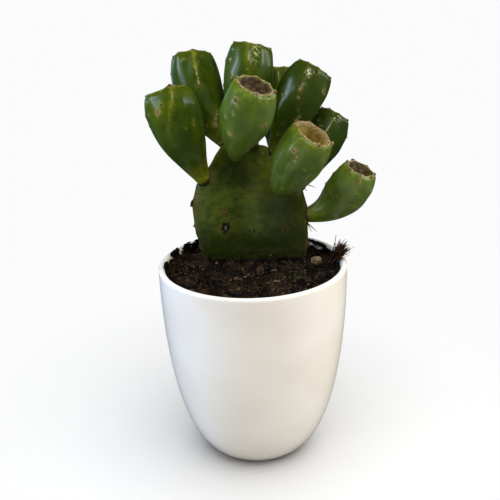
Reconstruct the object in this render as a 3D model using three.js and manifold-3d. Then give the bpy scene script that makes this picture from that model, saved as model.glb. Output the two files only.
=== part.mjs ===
// A potted prickly-pear: one flat green pad standing in a white glazed pot, with nine
// barrel-shaped fruits round the top of the pad, on potting soil with a few loose bits on it.
// Millimetres, +Z up, front towards -Y. The origin is on the pot's axis, on its underside.
import * as THREE from 'three';
import { mergeVertices } from 'three/addons/utils/BufferGeometryUtils.js';
import Module from 'manifold-3d';

const wasm = await Module();
wasm.setup();

// ---- driving dimensions ----
const potHeight = 141;
const rimRadius = 65;
const footRadius = 31;
const wallThickness = 4.3;
const floorThickness = 7;
const gap = 0.3; // kept between pieces that touch

const soilLevel = 135.5; // mean height of the soil's surface
const soilTilt = -0.017; // the soil lies a little higher on the left

const padY = 23; // middle of the pad where it enters the soil
const padLean = 0.09; // how far the pad leans back, per millimetre of height
const padHalfThickness = 9;

// ---- helpers ----
const yellowGreen = 0x5d7a2c;
const darkGreen = 0x3a5a22;

// Welds a geometry into a closed shell that holds positions only.
function weld(geometry) {
  geometry.deleteAttribute('normal');
  geometry.deleteAttribute('uv');
  return mergeVertices(geometry, 1e-4);
}

function toSolid(geometry) {
  const welded = weld(geometry.clone());
  return new wasm.Manifold(new wasm.Mesh({
    numProp: 3,
    vertProperties: new Float32Array(welded.attributes.position.array),
    triVerts: new Uint32Array(welded.index.array),
  }));
}

function toGeometry(solid) {
  const { vertProperties, triVerts } = solid.getMesh();
  const geometry = new THREE.BufferGeometry();
  geometry.setAttribute('position', new THREE.BufferAttribute(new Float32Array(vertProperties), 3));
  geometry.setIndex(new THREE.BufferAttribute(new Uint32Array(triVerts), 1));
  geometry.computeVertexNormals();
  return geometry;
}

// Moves every vertex of a geometry to move(x, y, z), which returns a Vector3.
function reshape(geometry, move) {
  const welded = weld(geometry);
  const place = welded.attributes.position;
  for (let i = 0; i < place.count; i += 1) {
    const to = move(place.getX(i), place.getY(i), place.getZ(i));
    place.setXYZ(i, to.x, to.y, to.z);
  }
  welded.computeVertexNormals();
  return welded;
}

const group = new THREE.Group();

function addPart(name, geometry, color, roughness, metalness = 0) {
  const material = new THREE.MeshStandardMaterial({ color, roughness, metalness });
  const mesh = new THREE.Mesh(geometry, material);
  mesh.name = name;
  group.add(mesh);
  return mesh;
}

// ---- pot: a tapering bowl whose side is a superellipse, with a rounded lip ----
const sideFullness = 3.6; // exponent on the radius
const sideDrop = 2.06; // exponent on the depth below the rim

// Radius of a wall at height z, for a wall that ends at the given foot and rim.
function wallRadius(z, foot, rim, bottom) {
  const depth = THREE.MathUtils.clamp((potHeight - z) / (potHeight - bottom), 0, 1);
  const squeeze = 1 - (foot / rim) ** sideFullness;
  return rim * (1 - squeeze * depth ** sideDrop) ** (1 / sideFullness);
}

const innerRim = rimRadius - wallThickness;
const innerFoot = footRadius - 2;

function potGeometry() {
  const profile = [new THREE.Vector2(0, 0)];
  const lipRadius = wallThickness / 2;
  const wallSteps = 14;
  const bendTowardsFoot = 1.6; // packs the steps where the side curves most
  const lipBase = potHeight - lipRadius;
  for (let i = 0; i <= wallSteps; i += 1) {
    const z = lipBase * (i / wallSteps) ** bendTowardsFoot;
    profile.push(new THREE.Vector2(wallRadius(z, footRadius, rimRadius, 0), z));
  }
  const lipSteps = 5;
  for (let i = 1; i < lipSteps; i += 1) {
    const turn = (Math.PI * i) / lipSteps;
    profile.push(new THREE.Vector2(
      rimRadius - lipRadius + lipRadius * Math.cos(turn),
      lipBase + lipRadius * Math.sin(turn),
    ));
  }
  for (let i = wallSteps; i >= 0; i -= 1) {
    const z = floorThickness + (lipBase - floorThickness) * (i / wallSteps) ** bendTowardsFoot;
    profile.push(new THREE.Vector2(wallRadius(z, innerFoot, innerRim, floorThickness), z));
  }
  profile.push(new THREE.Vector2(0, floorThickness));
  const sides = 48;
  return new THREE.LatheGeometry(profile, sides).rotateX(Math.PI / 2);
}

// ---- pad: a flat pillow whose outline bulges above the soil and is clipped at the corners ----
const padMiddle = new THREE.Vector2(0, 162); // x and z of the point the outline is drawn round
const padOutline = new THREE.CatmullRomCurve3([
  [0, 96],
  [24, 104],
  [35, 121],
  [39.5, 143],
  [39.5, 165],
  [36.5, 184],
  [28, 200],
  [15, 213],
  [0, 218],
  [-15, 219.5],
  [-28.5, 203],
  [-38, 190],
  [-41, 168],
  [-36.5, 140],
  [-31, 118],
  [-20, 102],
].map(([x, z]) => new THREE.Vector3(x, 0, z)), true, 'centripetal');

function padGeometry(grow) {
  const columns = 40;
  const rows = 12;
  const edgeSquareness = 0.42; // below 1: the faces stay flat almost to the edge
  return reshape(new THREE.SphereGeometry(1, columns, rows), (x, y, z) => {
    const along = (Math.atan2(z, x) / (2 * Math.PI) + 1) % 1;
    const ring = Math.min(1, Math.hypot(x, z)) ** edgeSquareness;
    const edge = padOutline.getPoint(along);
    const reach = new THREE.Vector2(edge.x - padMiddle.x, edge.z - padMiddle.y);
    reach.setLength(reach.length() + grow).multiplyScalar(ring);
    const height = padMiddle.y + reach.y;
    const middleY = padY + padLean * (height - soilLevel);
    return new THREE.Vector3(
      padMiddle.x + reach.x,
      middleY + y * (padHalfThickness + grow),
      height,
    );
  });
}

// ---- fruits: a narrow neck, a barrel body and a shallow cup, turned round a bent centre line ----
// neck: where the centre line leaves the pad; bend: its control point; tip: middle of the rim.
const fruits = [
  { name: 'fruit_left_front', neck: [-31.3, 26, 192.2], bend: [-45, 12, 221.5], tip: [-54, 23, 256],
    belly: 18.2, cup: 15, neckSize: 5, bellyAt: 0.76, color: darkGreen },
  { name: 'fruit_back_left', neck: [-12.4, 33.4, 215.9], bend: [-36, 47.5, 240], tip: [-38.5, 62, 274.5],
    belly: 16.8, cup: 13.5, neckSize: 6.5, bellyAt: 0.68, color: darkGreen },
  { name: 'fruit_top_centre', neck: [1, 29, 213], bend: [-4, 35.5, 243], tip: [4, 46.5, 281.5],
    belly: 16.7, cup: 13, neckSize: 6, bellyAt: 0.68, color: darkGreen },
  { name: 'fruit_front_centre', neck: [-9.5, 25, 211], bend: [-11, -2, 217], tip: [5.5, -2, 262.5],
    belly: 17.4, cup: 13.2, neckSize: 5, bellyAt: 0.7, taper: 2.1, color: yellowGreen },
  { name: 'fruit_back_centre', neck: [21, 37, 196], bend: [19.5, 59, 212], tip: [22, 69.5, 263],
    belly: 13.6, cup: 11, neckSize: 5, bellyAt: 0.68, color: darkGreen },
  { name: 'fruit_right_top', neck: [18.4, 29, 208.1], bend: [26, 30, 233], tip: [46, 40, 265.5],
    belly: 16.2, cup: 13.2, neckSize: 6, bellyAt: 0.72, color: darkGreen },
  { name: 'fruit_right_front', neck: [21.5, 22.5, 192], bend: [15.5, 0, 184.5], tip: [42, -8, 231.5],
    belly: 17, cup: 13.5, neckSize: 6, bellyAt: 0.68, taper: 1.95, color: yellowGreen },
  { name: 'fruit_right_back', neck: [33, 31, 185], bend: [45, 42, 203], tip: [61.5, 54, 230.5],
    belly: 15, cup: 11.8, neckSize: 5.5, bellyAt: 0.7, color: darkGreen },
  { name: 'fruit_right_low', neck: [37, 27, 164.5], bend: [63, 26, 167], tip: [77, 24, 198.5],
    belly: 15, cup: 11, neckSize: 4.8, bellyAt: 0.7, color: yellowGreen },
];

// Body radius at the share u of the centre line: a sine swell up to the belly, then a rounded
// shoulder down to the rim of the cup.
function fruitRadius(fruit, u) {
  if (u < fruit.bellyAt) {
    const swell = Math.sin((Math.PI / 2) * (u / fruit.bellyAt) ** 1.15);
    return THREE.MathUtils.lerp(fruit.neckSize, fruit.belly, swell ** (fruit.taper ?? 1.25));
  }
  const past = (u - fruit.bellyAt) / (1 - fruit.bellyAt);
  return THREE.MathUtils.lerp(fruit.belly, fruit.cup, past ** 2.2);
}

// Turns a profile of (radius, share of the line) round a bent centre line. wide squashes the
// round section into an oval, and across is the direction of its long side.
function turnRound(profile, sides, line, across, wide = 1) {
  return reshape(new THREE.LatheGeometry(profile, sides), (x, u, z) => {
    const middle = line.getPointAt(u);
    const along = line.getTangentAt(u);
    const third = new THREE.Vector3().crossVectors(across, along).normalize();
    const side = new THREE.Vector3().crossVectors(along, third);
    return middle.addScaledVector(side, x * wide).addScaledVector(third, z);
  });
}

function bentLine(start, bend, end) {
  return new THREE.QuadraticBezierCurve3(
    new THREE.Vector3(...start),
    new THREE.Vector3(...bend),
    new THREE.Vector3(...end),
  );
}

function fruitGeometry(fruit) {
  const profile = [new THREE.Vector2(0, 0)];
  const bodySteps = 12;
  for (let i = 0; i <= bodySteps; i += 1) {
    const u = i / bodySteps;
    profile.push(new THREE.Vector2(fruitRadius(fruit, u), u));
  }
  const cupDepth = 0.09; // shares of the centre line
  profile.push(new THREE.Vector2(fruit.cup * 0.82, 1 - cupDepth * 0.15));
  profile.push(new THREE.Vector2(fruit.cup * 0.5, 1 - cupDepth * 0.85));
  profile.push(new THREE.Vector2(0, 1 - cupDepth));
  const sides = 20;
  const line = bentLine(fruit.neck, fruit.bend, fruit.tip);
  return turnRound(profile, sides, line, new THREE.Vector3(1, 0, 0));
}

// ---- loose bits on the soil ----
function soilHeight(x, y) {
  const waves = 0.55 * Math.sin(x / 7 + 1) * Math.cos(y / 8) + 0.35 * Math.sin((x + y) / 4.3);
  return soilLevel + soilTilt * x + waves;
}

function stone(center, half, turn, dent) {
  const columns = 12;
  const rows = 8;
  return reshape(new THREE.SphereGeometry(1, columns, rows), (x, y, z) => {
    const lumpy = 1 + dent * Math.sin(3 * x + 1.3) * Math.cos(2.4 * z + y);
    return new THREE.Vector3(x * half[0], z * half[1], -y * half[2])
      .multiplyScalar(lumpy)
      .applyAxisAngle(new THREE.Vector3(0, 0, 1), turn)
      .add(new THREE.Vector3(...center));
  });
}

// A round strand of the given radius along a smooth curve through the points.
function strand(points, radius, steps, sides) {
  const section = new THREE.Shape();
  for (let i = 0; i < sides; i += 1) {
    const turn = (2 * Math.PI * i) / sides;
    const corner = [radius * Math.cos(turn), radius * Math.sin(turn)];
    if (i === 0) section.moveTo(...corner);
    else section.lineTo(...corner);
  }
  const path = new THREE.CatmullRomCurve3(points.map((p) => new THREE.Vector3(...p)));
  return new THREE.ExtrudeGeometry(section, { steps, extrudePath: path, bevelEnabled: false });
}

const pebble = { center: [45, 10, 136.3], half: [4, 3, 2.6], turn: 0.35, dent: 0.07 };
const barkChip = { center: [5, -9, 136.8], half: [2.6, 2, 3.4], turn: 0.5, dent: 0.12 };
const makeStone = (bit, grow) =>
  stone(bit.center, bit.half.map((h) => h + grow), bit.turn, bit.dent);

const twigRadius = 0.7;
const twigPoints = [[-19, -24.5], [-12, -19.5], [-4, -14.5], [1.5, -12.5]]
  .map(([x, y]) => [x, y, soilHeight(x, y) + 0.5]);
const rootletRadius = 0.6;
const rootletPoints = [[9, -26], [14, -25], [19, -21], [23, -16.5]]
  .map(([x, y]) => [x, y, soilHeight(x, y) + 0.45]);

// The tuft is a brush of dry root fibres that rises from the soil and flares out over the rim.
const tuft = { foot: [53.5, 9.5, 133], waist: [56.5, 4, 144.5], end: [63, -3.5, 150.5], wide: 1.9 };
const tuftAcross = new THREE.Vector3(9.5, -5.5, -4).normalize();

function tuftGeometry(grow) {
  const profile = [
    [0, 0],
    [1.5, 0],
    [1.9, 0.3],
    [2.3, 0.6],
    [3.1, 0.9],
    [2.6, 1],
    [0, 0.96],
  ].map(([radius, share]) => new THREE.Vector2(radius === 0 ? 0 : radius + grow, share));
  const sides = 14;
  const line = bentLine(tuft.foot, tuft.waist, tuft.end);
  return turnRound(profile, sides, line, tuftAcross, tuft.wide);
}

// ---- soil: fills the pot up to an uneven surface ----
function soilGeometry() {
  const profile = [new THREE.Vector2(0, floorThickness + gap)];
  const wallSteps = 8;
  for (let i = 0; i <= wallSteps; i += 1) {
    const z = floorThickness + gap + (soilLevel - floorThickness - gap) * (i / wallSteps) ** 1.6;
    profile.push(new THREE.Vector2(wallRadius(z, innerFoot, innerRim, floorThickness) - 2 * gap, z));
  }
  const topRings = 8;
  const topRadius = profile[profile.length - 1].x;
  for (let i = topRings - 1; i >= 0; i -= 1) {
    profile.push(new THREE.Vector2((topRadius * i) / topRings, soilLevel));
  }
  const sides = 36;
  const lathe = new THREE.LatheGeometry(profile, sides).rotateX(Math.PI / 2);
  const onTop = (z) => z > soilLevel - 0.01;
  return reshape(lathe, (x, y, z) => new THREE.Vector3(x, y, onTop(z) ? soilHeight(x, y) : z));
}

// ---- assembly ----
const padRoom = toSolid(padGeometry(gap));
const potSolid = toSolid(potGeometry());

const soil = [
  padRoom,
  toSolid(tuftGeometry(gap)),
  toSolid(makeStone(pebble, gap)),
  toSolid(makeStone(barkChip, gap)),
  toSolid(strand(twigPoints, twigRadius + gap, 10, 8)),
  toSolid(strand(rootletPoints, rootletRadius + gap, 8, 8)),
].reduce((whole, room) => whole.subtract(room), toSolid(soilGeometry()));

addPart('pot', toGeometry(potSolid), 0xf1efea, 0.22);
addPart('soil', toGeometry(soil), 0x1d1611, 0.97);
addPart('main_pad', padGeometry(0), 0x2f4a1c, 0.5);
for (const fruit of fruits) {
  const body = toSolid(fruitGeometry(fruit)).subtract(padRoom);
  addPart(fruit.name, toGeometry(body), fruit.color, 0.34);
}
addPart('pebble', makeStone(pebble, 0), 0xa08a5e, 0.8);
addPart('bark_chip', makeStone(barkChip, 0), 0x6b4227, 0.9);
addPart('twig', weld(strand(twigPoints, twigRadius, 10, 8)), 0x8a735a, 0.85);
addPart('rootlet', weld(strand(rootletPoints, rootletRadius, 8, 8)), 0x75614c, 0.85);
addPart('root_tuft', tuftGeometry(0), 0x4a2413, 0.95);

export default group;
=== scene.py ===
import math

import bpy
import numpy as np
from mathutils import Matrix, Vector


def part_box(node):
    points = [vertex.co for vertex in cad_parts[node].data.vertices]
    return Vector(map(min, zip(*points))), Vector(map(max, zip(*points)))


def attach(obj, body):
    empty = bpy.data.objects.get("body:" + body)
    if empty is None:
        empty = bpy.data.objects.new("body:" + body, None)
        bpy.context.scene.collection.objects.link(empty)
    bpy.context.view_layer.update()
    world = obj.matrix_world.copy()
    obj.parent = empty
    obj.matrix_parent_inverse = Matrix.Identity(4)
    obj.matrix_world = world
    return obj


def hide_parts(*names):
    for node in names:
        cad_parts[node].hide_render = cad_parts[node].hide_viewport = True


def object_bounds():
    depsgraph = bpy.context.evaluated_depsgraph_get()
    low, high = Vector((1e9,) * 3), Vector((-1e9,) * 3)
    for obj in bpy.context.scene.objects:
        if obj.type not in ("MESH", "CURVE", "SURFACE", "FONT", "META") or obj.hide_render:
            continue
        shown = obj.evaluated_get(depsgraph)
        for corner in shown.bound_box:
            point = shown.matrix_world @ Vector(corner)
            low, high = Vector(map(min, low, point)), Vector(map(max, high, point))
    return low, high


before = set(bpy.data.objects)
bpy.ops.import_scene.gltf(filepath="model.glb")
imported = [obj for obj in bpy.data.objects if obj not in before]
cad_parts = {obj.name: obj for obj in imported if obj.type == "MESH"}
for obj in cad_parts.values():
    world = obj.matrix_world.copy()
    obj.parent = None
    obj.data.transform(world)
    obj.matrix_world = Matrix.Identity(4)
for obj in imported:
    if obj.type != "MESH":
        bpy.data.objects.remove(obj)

mm = 0.001
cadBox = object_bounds()
print("frame:", len(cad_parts), "nodes, box", [round(side / mm) for side in cadBox[1] - cadBox[0]])


# small maths helpers, all on whole arrays

def fade(value, low, high):
    # 0 below low, 1 above high, an S curve between (3t^2 - 2t^3)
    share = np.clip((value - low) / (high - low), 0, 1)
    return share * share * (3 - 2 * share)


def lerp(first, second, share):
    return first + (second - first) * share


def unit(vectors):
    return vectors / np.maximum(np.linalg.norm(vectors, axis=-1, keepdims=True), 1e-12)


def angleBetween(first, second):
    # signed difference of two turns, wrapped to -pi..pi
    return (first - second + math.pi) % (2 * math.pi) - math.pi


def softNoise(points, seed):
    # value noise: a random number on each whole-number corner, blended smoothly across the cell
    cell = np.floor(points).astype(np.int64)
    part = points - cell
    part = part * part * (3 - 2 * part)
    total = np.zeros(points.shape[:-1])
    for corner in np.ndindex(2, 2, 2):
        at = cell + np.array(corner)
        code = (at[..., 0] * 73856093) ^ (at[..., 1] * 19349663) ^ (at[..., 2] * 83492791) ^ (seed * 7919)
        code = (code ^ (code >> 13)) * 1274126177 & 0x7FFFFFFF
        code = (code ^ (code >> 15)) * 668265263 & 0x7FFFFFFF
        weight = np.prod(np.where(np.array(corner) == 1, part, 1 - part), axis=-1)
        total += weight * ((code >> 7) & 0xFFFF) / 0xFFFF
    return total * 2 - 1


def roughNoise(points, seed, layers):
    # layers of soft noise, each half the size and half the height of the last
    return sum(softNoise(points * 2 ** k, seed + k) / 2 ** k for k in range(layers))


# meshes

def ringFaces(rows, columns):
    # quads between neighbouring rings; each ring closes on itself
    here = np.arange((rows - 1) * columns).reshape(rows - 1, columns)
    beside = np.roll(here, -1, axis=1)
    return np.stack([here, beside, beside + columns, here + columns], axis=-1).reshape(-1, 4)


def closedRings(rings, start, end):
    # a skin over a stack of rings, closed by a point at each end
    rows, columns = rings.shape[:2]
    first = np.arange(columns)
    last = first + (rows - 1) * columns
    pole = np.full(columns, rows * columns)
    startFan = np.stack([pole, np.roll(first, -1), first], axis=-1)
    endFan = np.stack([pole + 1, last, np.roll(last, -1)], axis=-1)
    corners = np.concatenate([rings.reshape(-1, 3), [start, end]])
    return corners, [ringFaces(rows, columns), startFan, endFan]


def withPoles(values):
    # per-corner values for closedRings: the rings' own, then the mean of the end rings
    return np.concatenate([values.ravel(), [values[0].mean(), values[-1].mean()]])


def makePiece(name, corners, faces, paint, nodes=(), marks=None, smooth=True):
    mesh = bpy.data.meshes.new(name)
    sizes = np.concatenate([np.full(len(part), part.shape[1]) for part in faces])
    mesh.vertices.add(len(corners))
    mesh.vertices.foreach_set("co", np.ravel(corners).astype(np.float32))
    mesh.loops.add(int(sizes.sum()))
    mesh.loops.foreach_set("vertex_index", np.concatenate([part.ravel() for part in faces]).astype(np.int32))
    mesh.polygons.add(len(sizes))
    mesh.polygons.foreach_set("loop_start", (np.cumsum(sizes) - sizes).astype(np.int32))
    mesh.polygons.foreach_set("use_smooth", np.full(len(sizes), smooth))
    for mark, values in (marks or {}).items():
        mesh.attributes.new(mark, "FLOAT", "POINT").data.foreach_set("value", values.astype(np.float32))
    mesh.update(calc_edges=True)
    mesh.validate()
    piece = bpy.data.objects.new(name, mesh)
    bpy.context.scene.collection.objects.link(piece)
    mesh.materials.append(paint.material)
    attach(piece, "root")
    if nodes:
        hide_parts(*nodes)
    return piece


def manyCopies(shape, shapeFaces, places, turns, sizes):
    # copies of one small shape: corners = place + turn applied to (size * shape)
    corners = np.einsum("nij,nkj->nki", turns, shape * sizes) + places[:, None]
    step = np.arange(len(places))[:, None, None] * shape.shape[-2]
    return corners.reshape(-1, 3), (shapeFaces[None] + step).reshape(-1, shapeFaces.shape[1])


def randomTurns(count, rng):
    # rotation matrices from random unit quaternions
    w, x, y, z = unit(rng.normal(size=(count, 4))).T
    return np.stack([
        np.stack([1 - 2 * (y * y + z * z), 2 * (x * y - z * w), 2 * (x * z + y * w)], axis=-1),
        np.stack([2 * (x * y + z * w), 1 - 2 * (x * x + z * z), 2 * (y * z - x * w)], axis=-1),
        np.stack([2 * (x * z - y * w), 2 * (y * z + x * w), 1 - 2 * (x * x + y * y)], axis=-1),
    ], axis=-2)


def strands(paths, radii, sides):
    # thin tubes along many paths at once: paths is (count, steps, 3), radii (count, steps).
    # each ring lies in the plane across its path: centre + radius * (cos t * side + sin t * up)
    along = unit(np.gradient(paths, axis=1))
    helper = np.where(np.abs(along[..., 2:]) > 0.9, [1.0, 0, 0], [0, 0, 1.0])
    side = unit(np.cross(helper, along))
    up = np.cross(along, side)
    turn = np.linspace(0, 2 * math.pi, sides, endpoint=False)[:, None]
    rings = paths[:, :, None] + radii[:, :, None, None] * (
        np.cos(turn) * side[:, :, None] + np.sin(turn) * up[:, :, None])
    count, steps = paths.shape[:2]
    base = np.arange(count)[:, None, None] * steps * sides
    skin = (ringFaces(steps, sides)[None] + base).reshape(-1, 4)
    caps = np.stack([np.arange(sides)[::-1], np.arange(sides) + (steps - 1) * sides])
    return rings.reshape(-1, 3), [skin, (caps[None] + base).reshape(-1, sides)]


def roundGrid(rows, columns):
    # directions over a ball, pole to pole, without the poles themselves
    down = np.linspace(0, math.pi, rows + 2)[1:-1, None]
    turn = np.linspace(0, 2 * math.pi, columns, endpoint=False)[None]
    return np.stack([np.sin(down) * np.cos(turn), np.sin(down) * np.sin(turn),
                     -np.cos(down) + 0 * turn], axis=-1)


# materials

class Value:
    # an output socket that can stand in arithmetic; each operation adds a Math node
    def __init__(self, paint, socket):
        self.paint = paint
        self.socket = socket

    def maths(self, operation, first, second):
        return self.paint.node("ShaderNodeMath", {"operation": operation}, {0: first, 1: second})

    def __add__(self, other):
        return self.maths("ADD", self, other)

    def __sub__(self, other):
        return self.maths("SUBTRACT", self, other)

    def __rsub__(self, other):
        return self.maths("SUBTRACT", other, self)

    def __mul__(self, other):
        return self.maths("MULTIPLY", self, other)

    __radd__ = __add__
    __rmul__ = __mul__


class Paint:
    # one Principled material; fixed values go straight on its sockets
    def __init__(self, name, **fixed):
        self.material = bpy.data.materials.new(name)
        self.material.use_nodes = True
        self.tree = self.material.node_tree
        self.shader = self.tree.nodes["Principled BSDF"]
        for socket, value in fixed.items():
            self.shader.inputs[socket.replace("_", " ")].default_value = value

    def connect(self, value, socket):
        if isinstance(value, Value):
            self.tree.links.new(value.socket, socket)
        else:
            socket.default_value = value

    def node(self, kind, settings=None, inputs=None, output=0):
        made = self.tree.nodes.new(kind)
        for key, value in (settings or {}).items():
            setattr(made, key, value)
        for key, value in (inputs or {}).items():
            self.connect(value, made.inputs[key])
        return Value(self, made.outputs[output])

    def place(self):
        return self.node("ShaderNodeTexCoord", output="Object")

    def noise(self, size, detail=4.0, roughness=0.5, stretch=(1, 1, 1)):
        # noise whose blobs are about size metres across
        where = self.node("ShaderNodeMapping", {}, {"Vector": self.place(), "Scale": stretch})
        return self.node("ShaderNodeTexNoise", {}, {
            "Vector": where, "Scale": 1 / size, "Detail": detail, "Roughness": roughness})

    def cells(self, size):
        # the distance to the nearest of scattered points about size metres apart
        return self.node("ShaderNodeTexVoronoi", {}, {"Vector": self.place(), "Scale": 1 / size})

    def mark(self, name):
        return self.node("ShaderNodeAttribute", {"attribute_name": name}, output="Fac")

    def fade(self, value, low, high):
        # the shader's own S curve from 0 at low to 1 at high
        return self.node("ShaderNodeMapRange", {"interpolation_type": "SMOOTHSTEP"}, {
            "Value": value, "From Min": low, "From Max": high})

    def blend(self, first, second, share):
        # two colours; share is a value from 0 to 1
        return self.node("ShaderNodeMix", {"data_type": "RGBA"}, {
            0: share, 6: self.colour(first), 7: self.colour(second)}, output=2)

    def colour(self, value):
        return value if isinstance(value, Value) else (*value, 1.0)

    def finish(self, colour, roughness, height, strength=0.5):
        # height is in metres
        self.connect(colour, self.shader.inputs["Base Color"])
        self.connect(roughness, self.shader.inputs["Roughness"])
        bump = self.node("ShaderNodeBump", {}, {"Strength": strength, "Distance": 1.0, "Height": height})
        self.connect(bump, self.shader.inputs["Normal"])
        return self


# measuring the frame

def nodeCorners(node):
    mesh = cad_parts[node].data
    corners = np.empty(len(mesh.vertices) * 3, np.float32)
    mesh.vertices.foreach_get("co", corners)
    return np.unique(np.round(corners.reshape(-1, 3).astype(float), 6), axis=0)


def measureLine(node, awayFrom):
    # the bent middle line of a turned solid: its corners stand evenly round the line, so a parabola
    # fitted through them against the distance along the solid is that line.
    # the result runs from share 0 at the end near awayFrom to share 1 at the far end
    corners = nodeCorners(node)
    middle = corners.mean(axis=0)
    axis = np.linalg.svd(corners - middle, full_matrices=False)[2][0]
    axis *= np.sign(np.dot(middle - awayFrom, axis))
    along = (corners - middle) @ axis
    share = (along - along.min()) / (along.max() - along.min())
    return np.polyfit(share, corners, 2), corners


def linePoint(line, share):
    # the parabola a*s^2 + b*s + c
    share = np.asarray(share)[..., None]
    return line[0] * share ** 2 + line[1] * share + line[2]


def lineAlong(line, share):
    return unit(2 * line[0] * np.asarray(share)[..., None] + line[1])


pot = dict(foot=31 * mm, footEdge=2 * mm, wall=4.3 * mm, floor=7 * mm, fullness=3.6, drop=2.06,
           wander=0.12 * mm, columns=240)
potLow, potHigh = (np.array(corner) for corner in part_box("pot"))
pot["rim"] = (potHigh[0] - potLow[0]) / 2
pot["height"] = potHigh[2]
soil = dict(below=5.5 * mm, tilt=-0.017, lumps=1.1 * mm)
soil["level"] = pot["height"] - soil["below"]


# pot: the radius follows rim * (1 - k * depth^drop)^(1/fullness), turned round the axis

def wallRadius(z, foot, rim, bottom):
    depth = np.clip((pot["height"] - z) / (pot["height"] - bottom), 0, 1)
    squeeze = 1 - (foot / rim) ** pot["fullness"]
    return rim * (1 - squeeze * depth ** pot["drop"]) ** (1 / pot["fullness"])


def innerRadius(z):
    # the same curve for the inner wall, with its own foot, rim and floor
    return wallRadius(z, pot["foot"] - pot["footEdge"], pot["rim"] - pot["wall"], pot["floor"])


def potPaint():
    paint = Paint("pot_glaze", Coat_Weight=0.12, Coat_Roughness=0.08, Specular_IOR_Level=0.25)
    cloud = paint.noise(0.05, detail=2)
    grain = paint.noise(0.0006, detail=3, roughness=0.7)
    base = paint.blend((0.770, 0.722, 0.645), (0.815, 0.775, 0.715), paint.fade(cloud, 0.35, 0.65))
    # pinholes and grit specks, few on the wall and more on the lip
    spots = paint.fade(paint.cells(0.009), 0.05, 0.025)
    rare = paint.fade(paint.noise(0.017, detail=2), 0.60, 0.66)
    lip = paint.mark("lip")
    speck = spots * rare * (0.25 + 0.75 * lip)
    lipSpeck = paint.fade(paint.noise(0.0014, detail=2), 0.67, 0.71) * lip
    colour = paint.blend(base, (0.06, 0.045, 0.03), speck)
    colour = paint.blend(colour, (0.30, 0.25, 0.19), lipSpeck * 0.6)
    # soil dust on the inner wall, thickest just above the soil
    dust = paint.mark("soiled") * paint.fade(paint.noise(0.0035, detail=4, roughness=0.65), 0.42, 0.56)
    colour = paint.blend(colour, (0.035, 0.026, 0.018), dust * 0.9)
    return paint.finish(colour, 0.16 + 0.1 * grain + 0.5 * dust, cloud * 0.0004 + grain * 0.00002, 0.35)


def makePot():
    lipRadius = pot["wall"] / 2
    lipBase = pot["height"] - lipRadius
    share = np.linspace(0, 1, 90) ** 1.5
    outsideZ = lipBase * share
    outside = wallRadius(outsideZ, pot["foot"], pot["rim"], 0)
    lipTurn = np.linspace(0, math.pi, 14)[1:-1]
    insideZ = lerp(pot["floor"], lipBase, share[::-1])
    inside = innerRadius(insideZ)
    footTurn = np.linspace(0, math.pi / 2, 8)[:-1]
    under = pot["foot"] + pot["footEdge"] * (np.sin(footTurn) - 1)
    radius = np.concatenate([[pot["foot"] * 0.4, pot["foot"] * 0.8], under, outside,
                             pot["rim"] - lipRadius + lipRadius * np.cos(lipTurn), inside,
                             [inside[-1] * 0.6, inside[-1] * 0.2]])
    z = np.concatenate([[0, 0], 0 * under, outsideZ, lipBase + lipRadius * np.sin(lipTurn),
                        insideZ, [pot["floor"]] * 2])
    turn = np.linspace(0, 2 * math.pi, pot["columns"], endpoint=False)
    # thrown unevenness: wander * sin(3 turn + 1), growing up the wall
    wander = pot["wander"] * np.sin(3 * turn + 1)[None] * fade(z, 10 * mm, 60 * mm)[:, None]
    reach = radius[:, None] + wander
    rings = np.stack([reach * np.cos(turn), reach * np.sin(turn), z[:, None] + 0 * reach], axis=-1)
    rings[..., 2] = np.clip(rings[..., 2], 0, pot["height"])
    corners, faces = closedRings(rings, [0, 0, 0], [0, 0, pot["floor"]])
    onLip = fade(rings[..., 2], lipBase - 5 * mm, lipBase + 1 * mm)
    inner = np.zeros(len(z))
    inner[np.argmax(z):] = 1
    soiled = inner[:, None] * fade(rings[..., 2], pot["height"] - 0.5 * mm, soil["level"] - 1 * mm)
    soiled = soiled * (0.35 + 0.65 * fade(rings[..., 1], -5 * mm, 35 * mm))
    makePiece("pot_body", corners, faces, potPaint(), ["pot"],
              dict(lip=withPoles(onLip), soiled=withPoles(soiled)))
    print("pot: rim radius", round(pot["rim"] / mm, 1), "mm")


# soil: a crumbly bed, loose crumbs on it and up the wall, and fine roots

# the pad's footprint in the soil: half its width and half its thickness
padFoot = dict(half=32 * mm, thin=7.6 * mm)
soilGrid = dict(columns=400, rings=150, sideRings=10)


def soilHeight(x, y):
    # the level surface, tilted, with waves and lumps
    points = np.stack([x, y, 0 * x], axis=-1)
    waves = 0.55 * mm * np.sin(x / (7 * mm) + 1) * np.cos(y / (8 * mm))
    waves = waves + 0.35 * mm * np.sin((x + y) / (4.3 * mm))
    lumps = soil["lumps"] * softNoise(points / (9 * mm), 3) + 0.7 * mm * roughNoise(points / (3 * mm), 5, 2)
    edge = fade(np.hypot(x, y), 50 * mm, 60 * mm)
    climb = edge * 1.2 * mm * softNoise(points / (5 * mm), 11)
    # heaped a little round the pad's foot, with a narrow gap right beside it
    beside = footDistance(x, y)
    uneven = 0.6 + 0.6 * softNoise(points / (4 * mm), 17)
    heap = 1.5 * mm * np.exp(-((beside - 2.5 * mm) / (3 * mm)) ** 2) * uneven
    gap = 1.3 * mm * np.exp(-(beside / (0.9 * mm)) ** 2)
    return soil["level"] + soil["tilt"] * x + waves + lumps * 0.8 + climb + heap - gap


def footDistance(x, y):
    # how far outside the pad's footprint a point of the soil lies, 0 inside it
    middle = padMiddleY(soil["level"])
    return np.hypot(np.maximum(np.abs(x) - padFoot["half"], 0),
                    np.maximum(np.abs(y - middle) - padFoot["thin"], 0))


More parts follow.
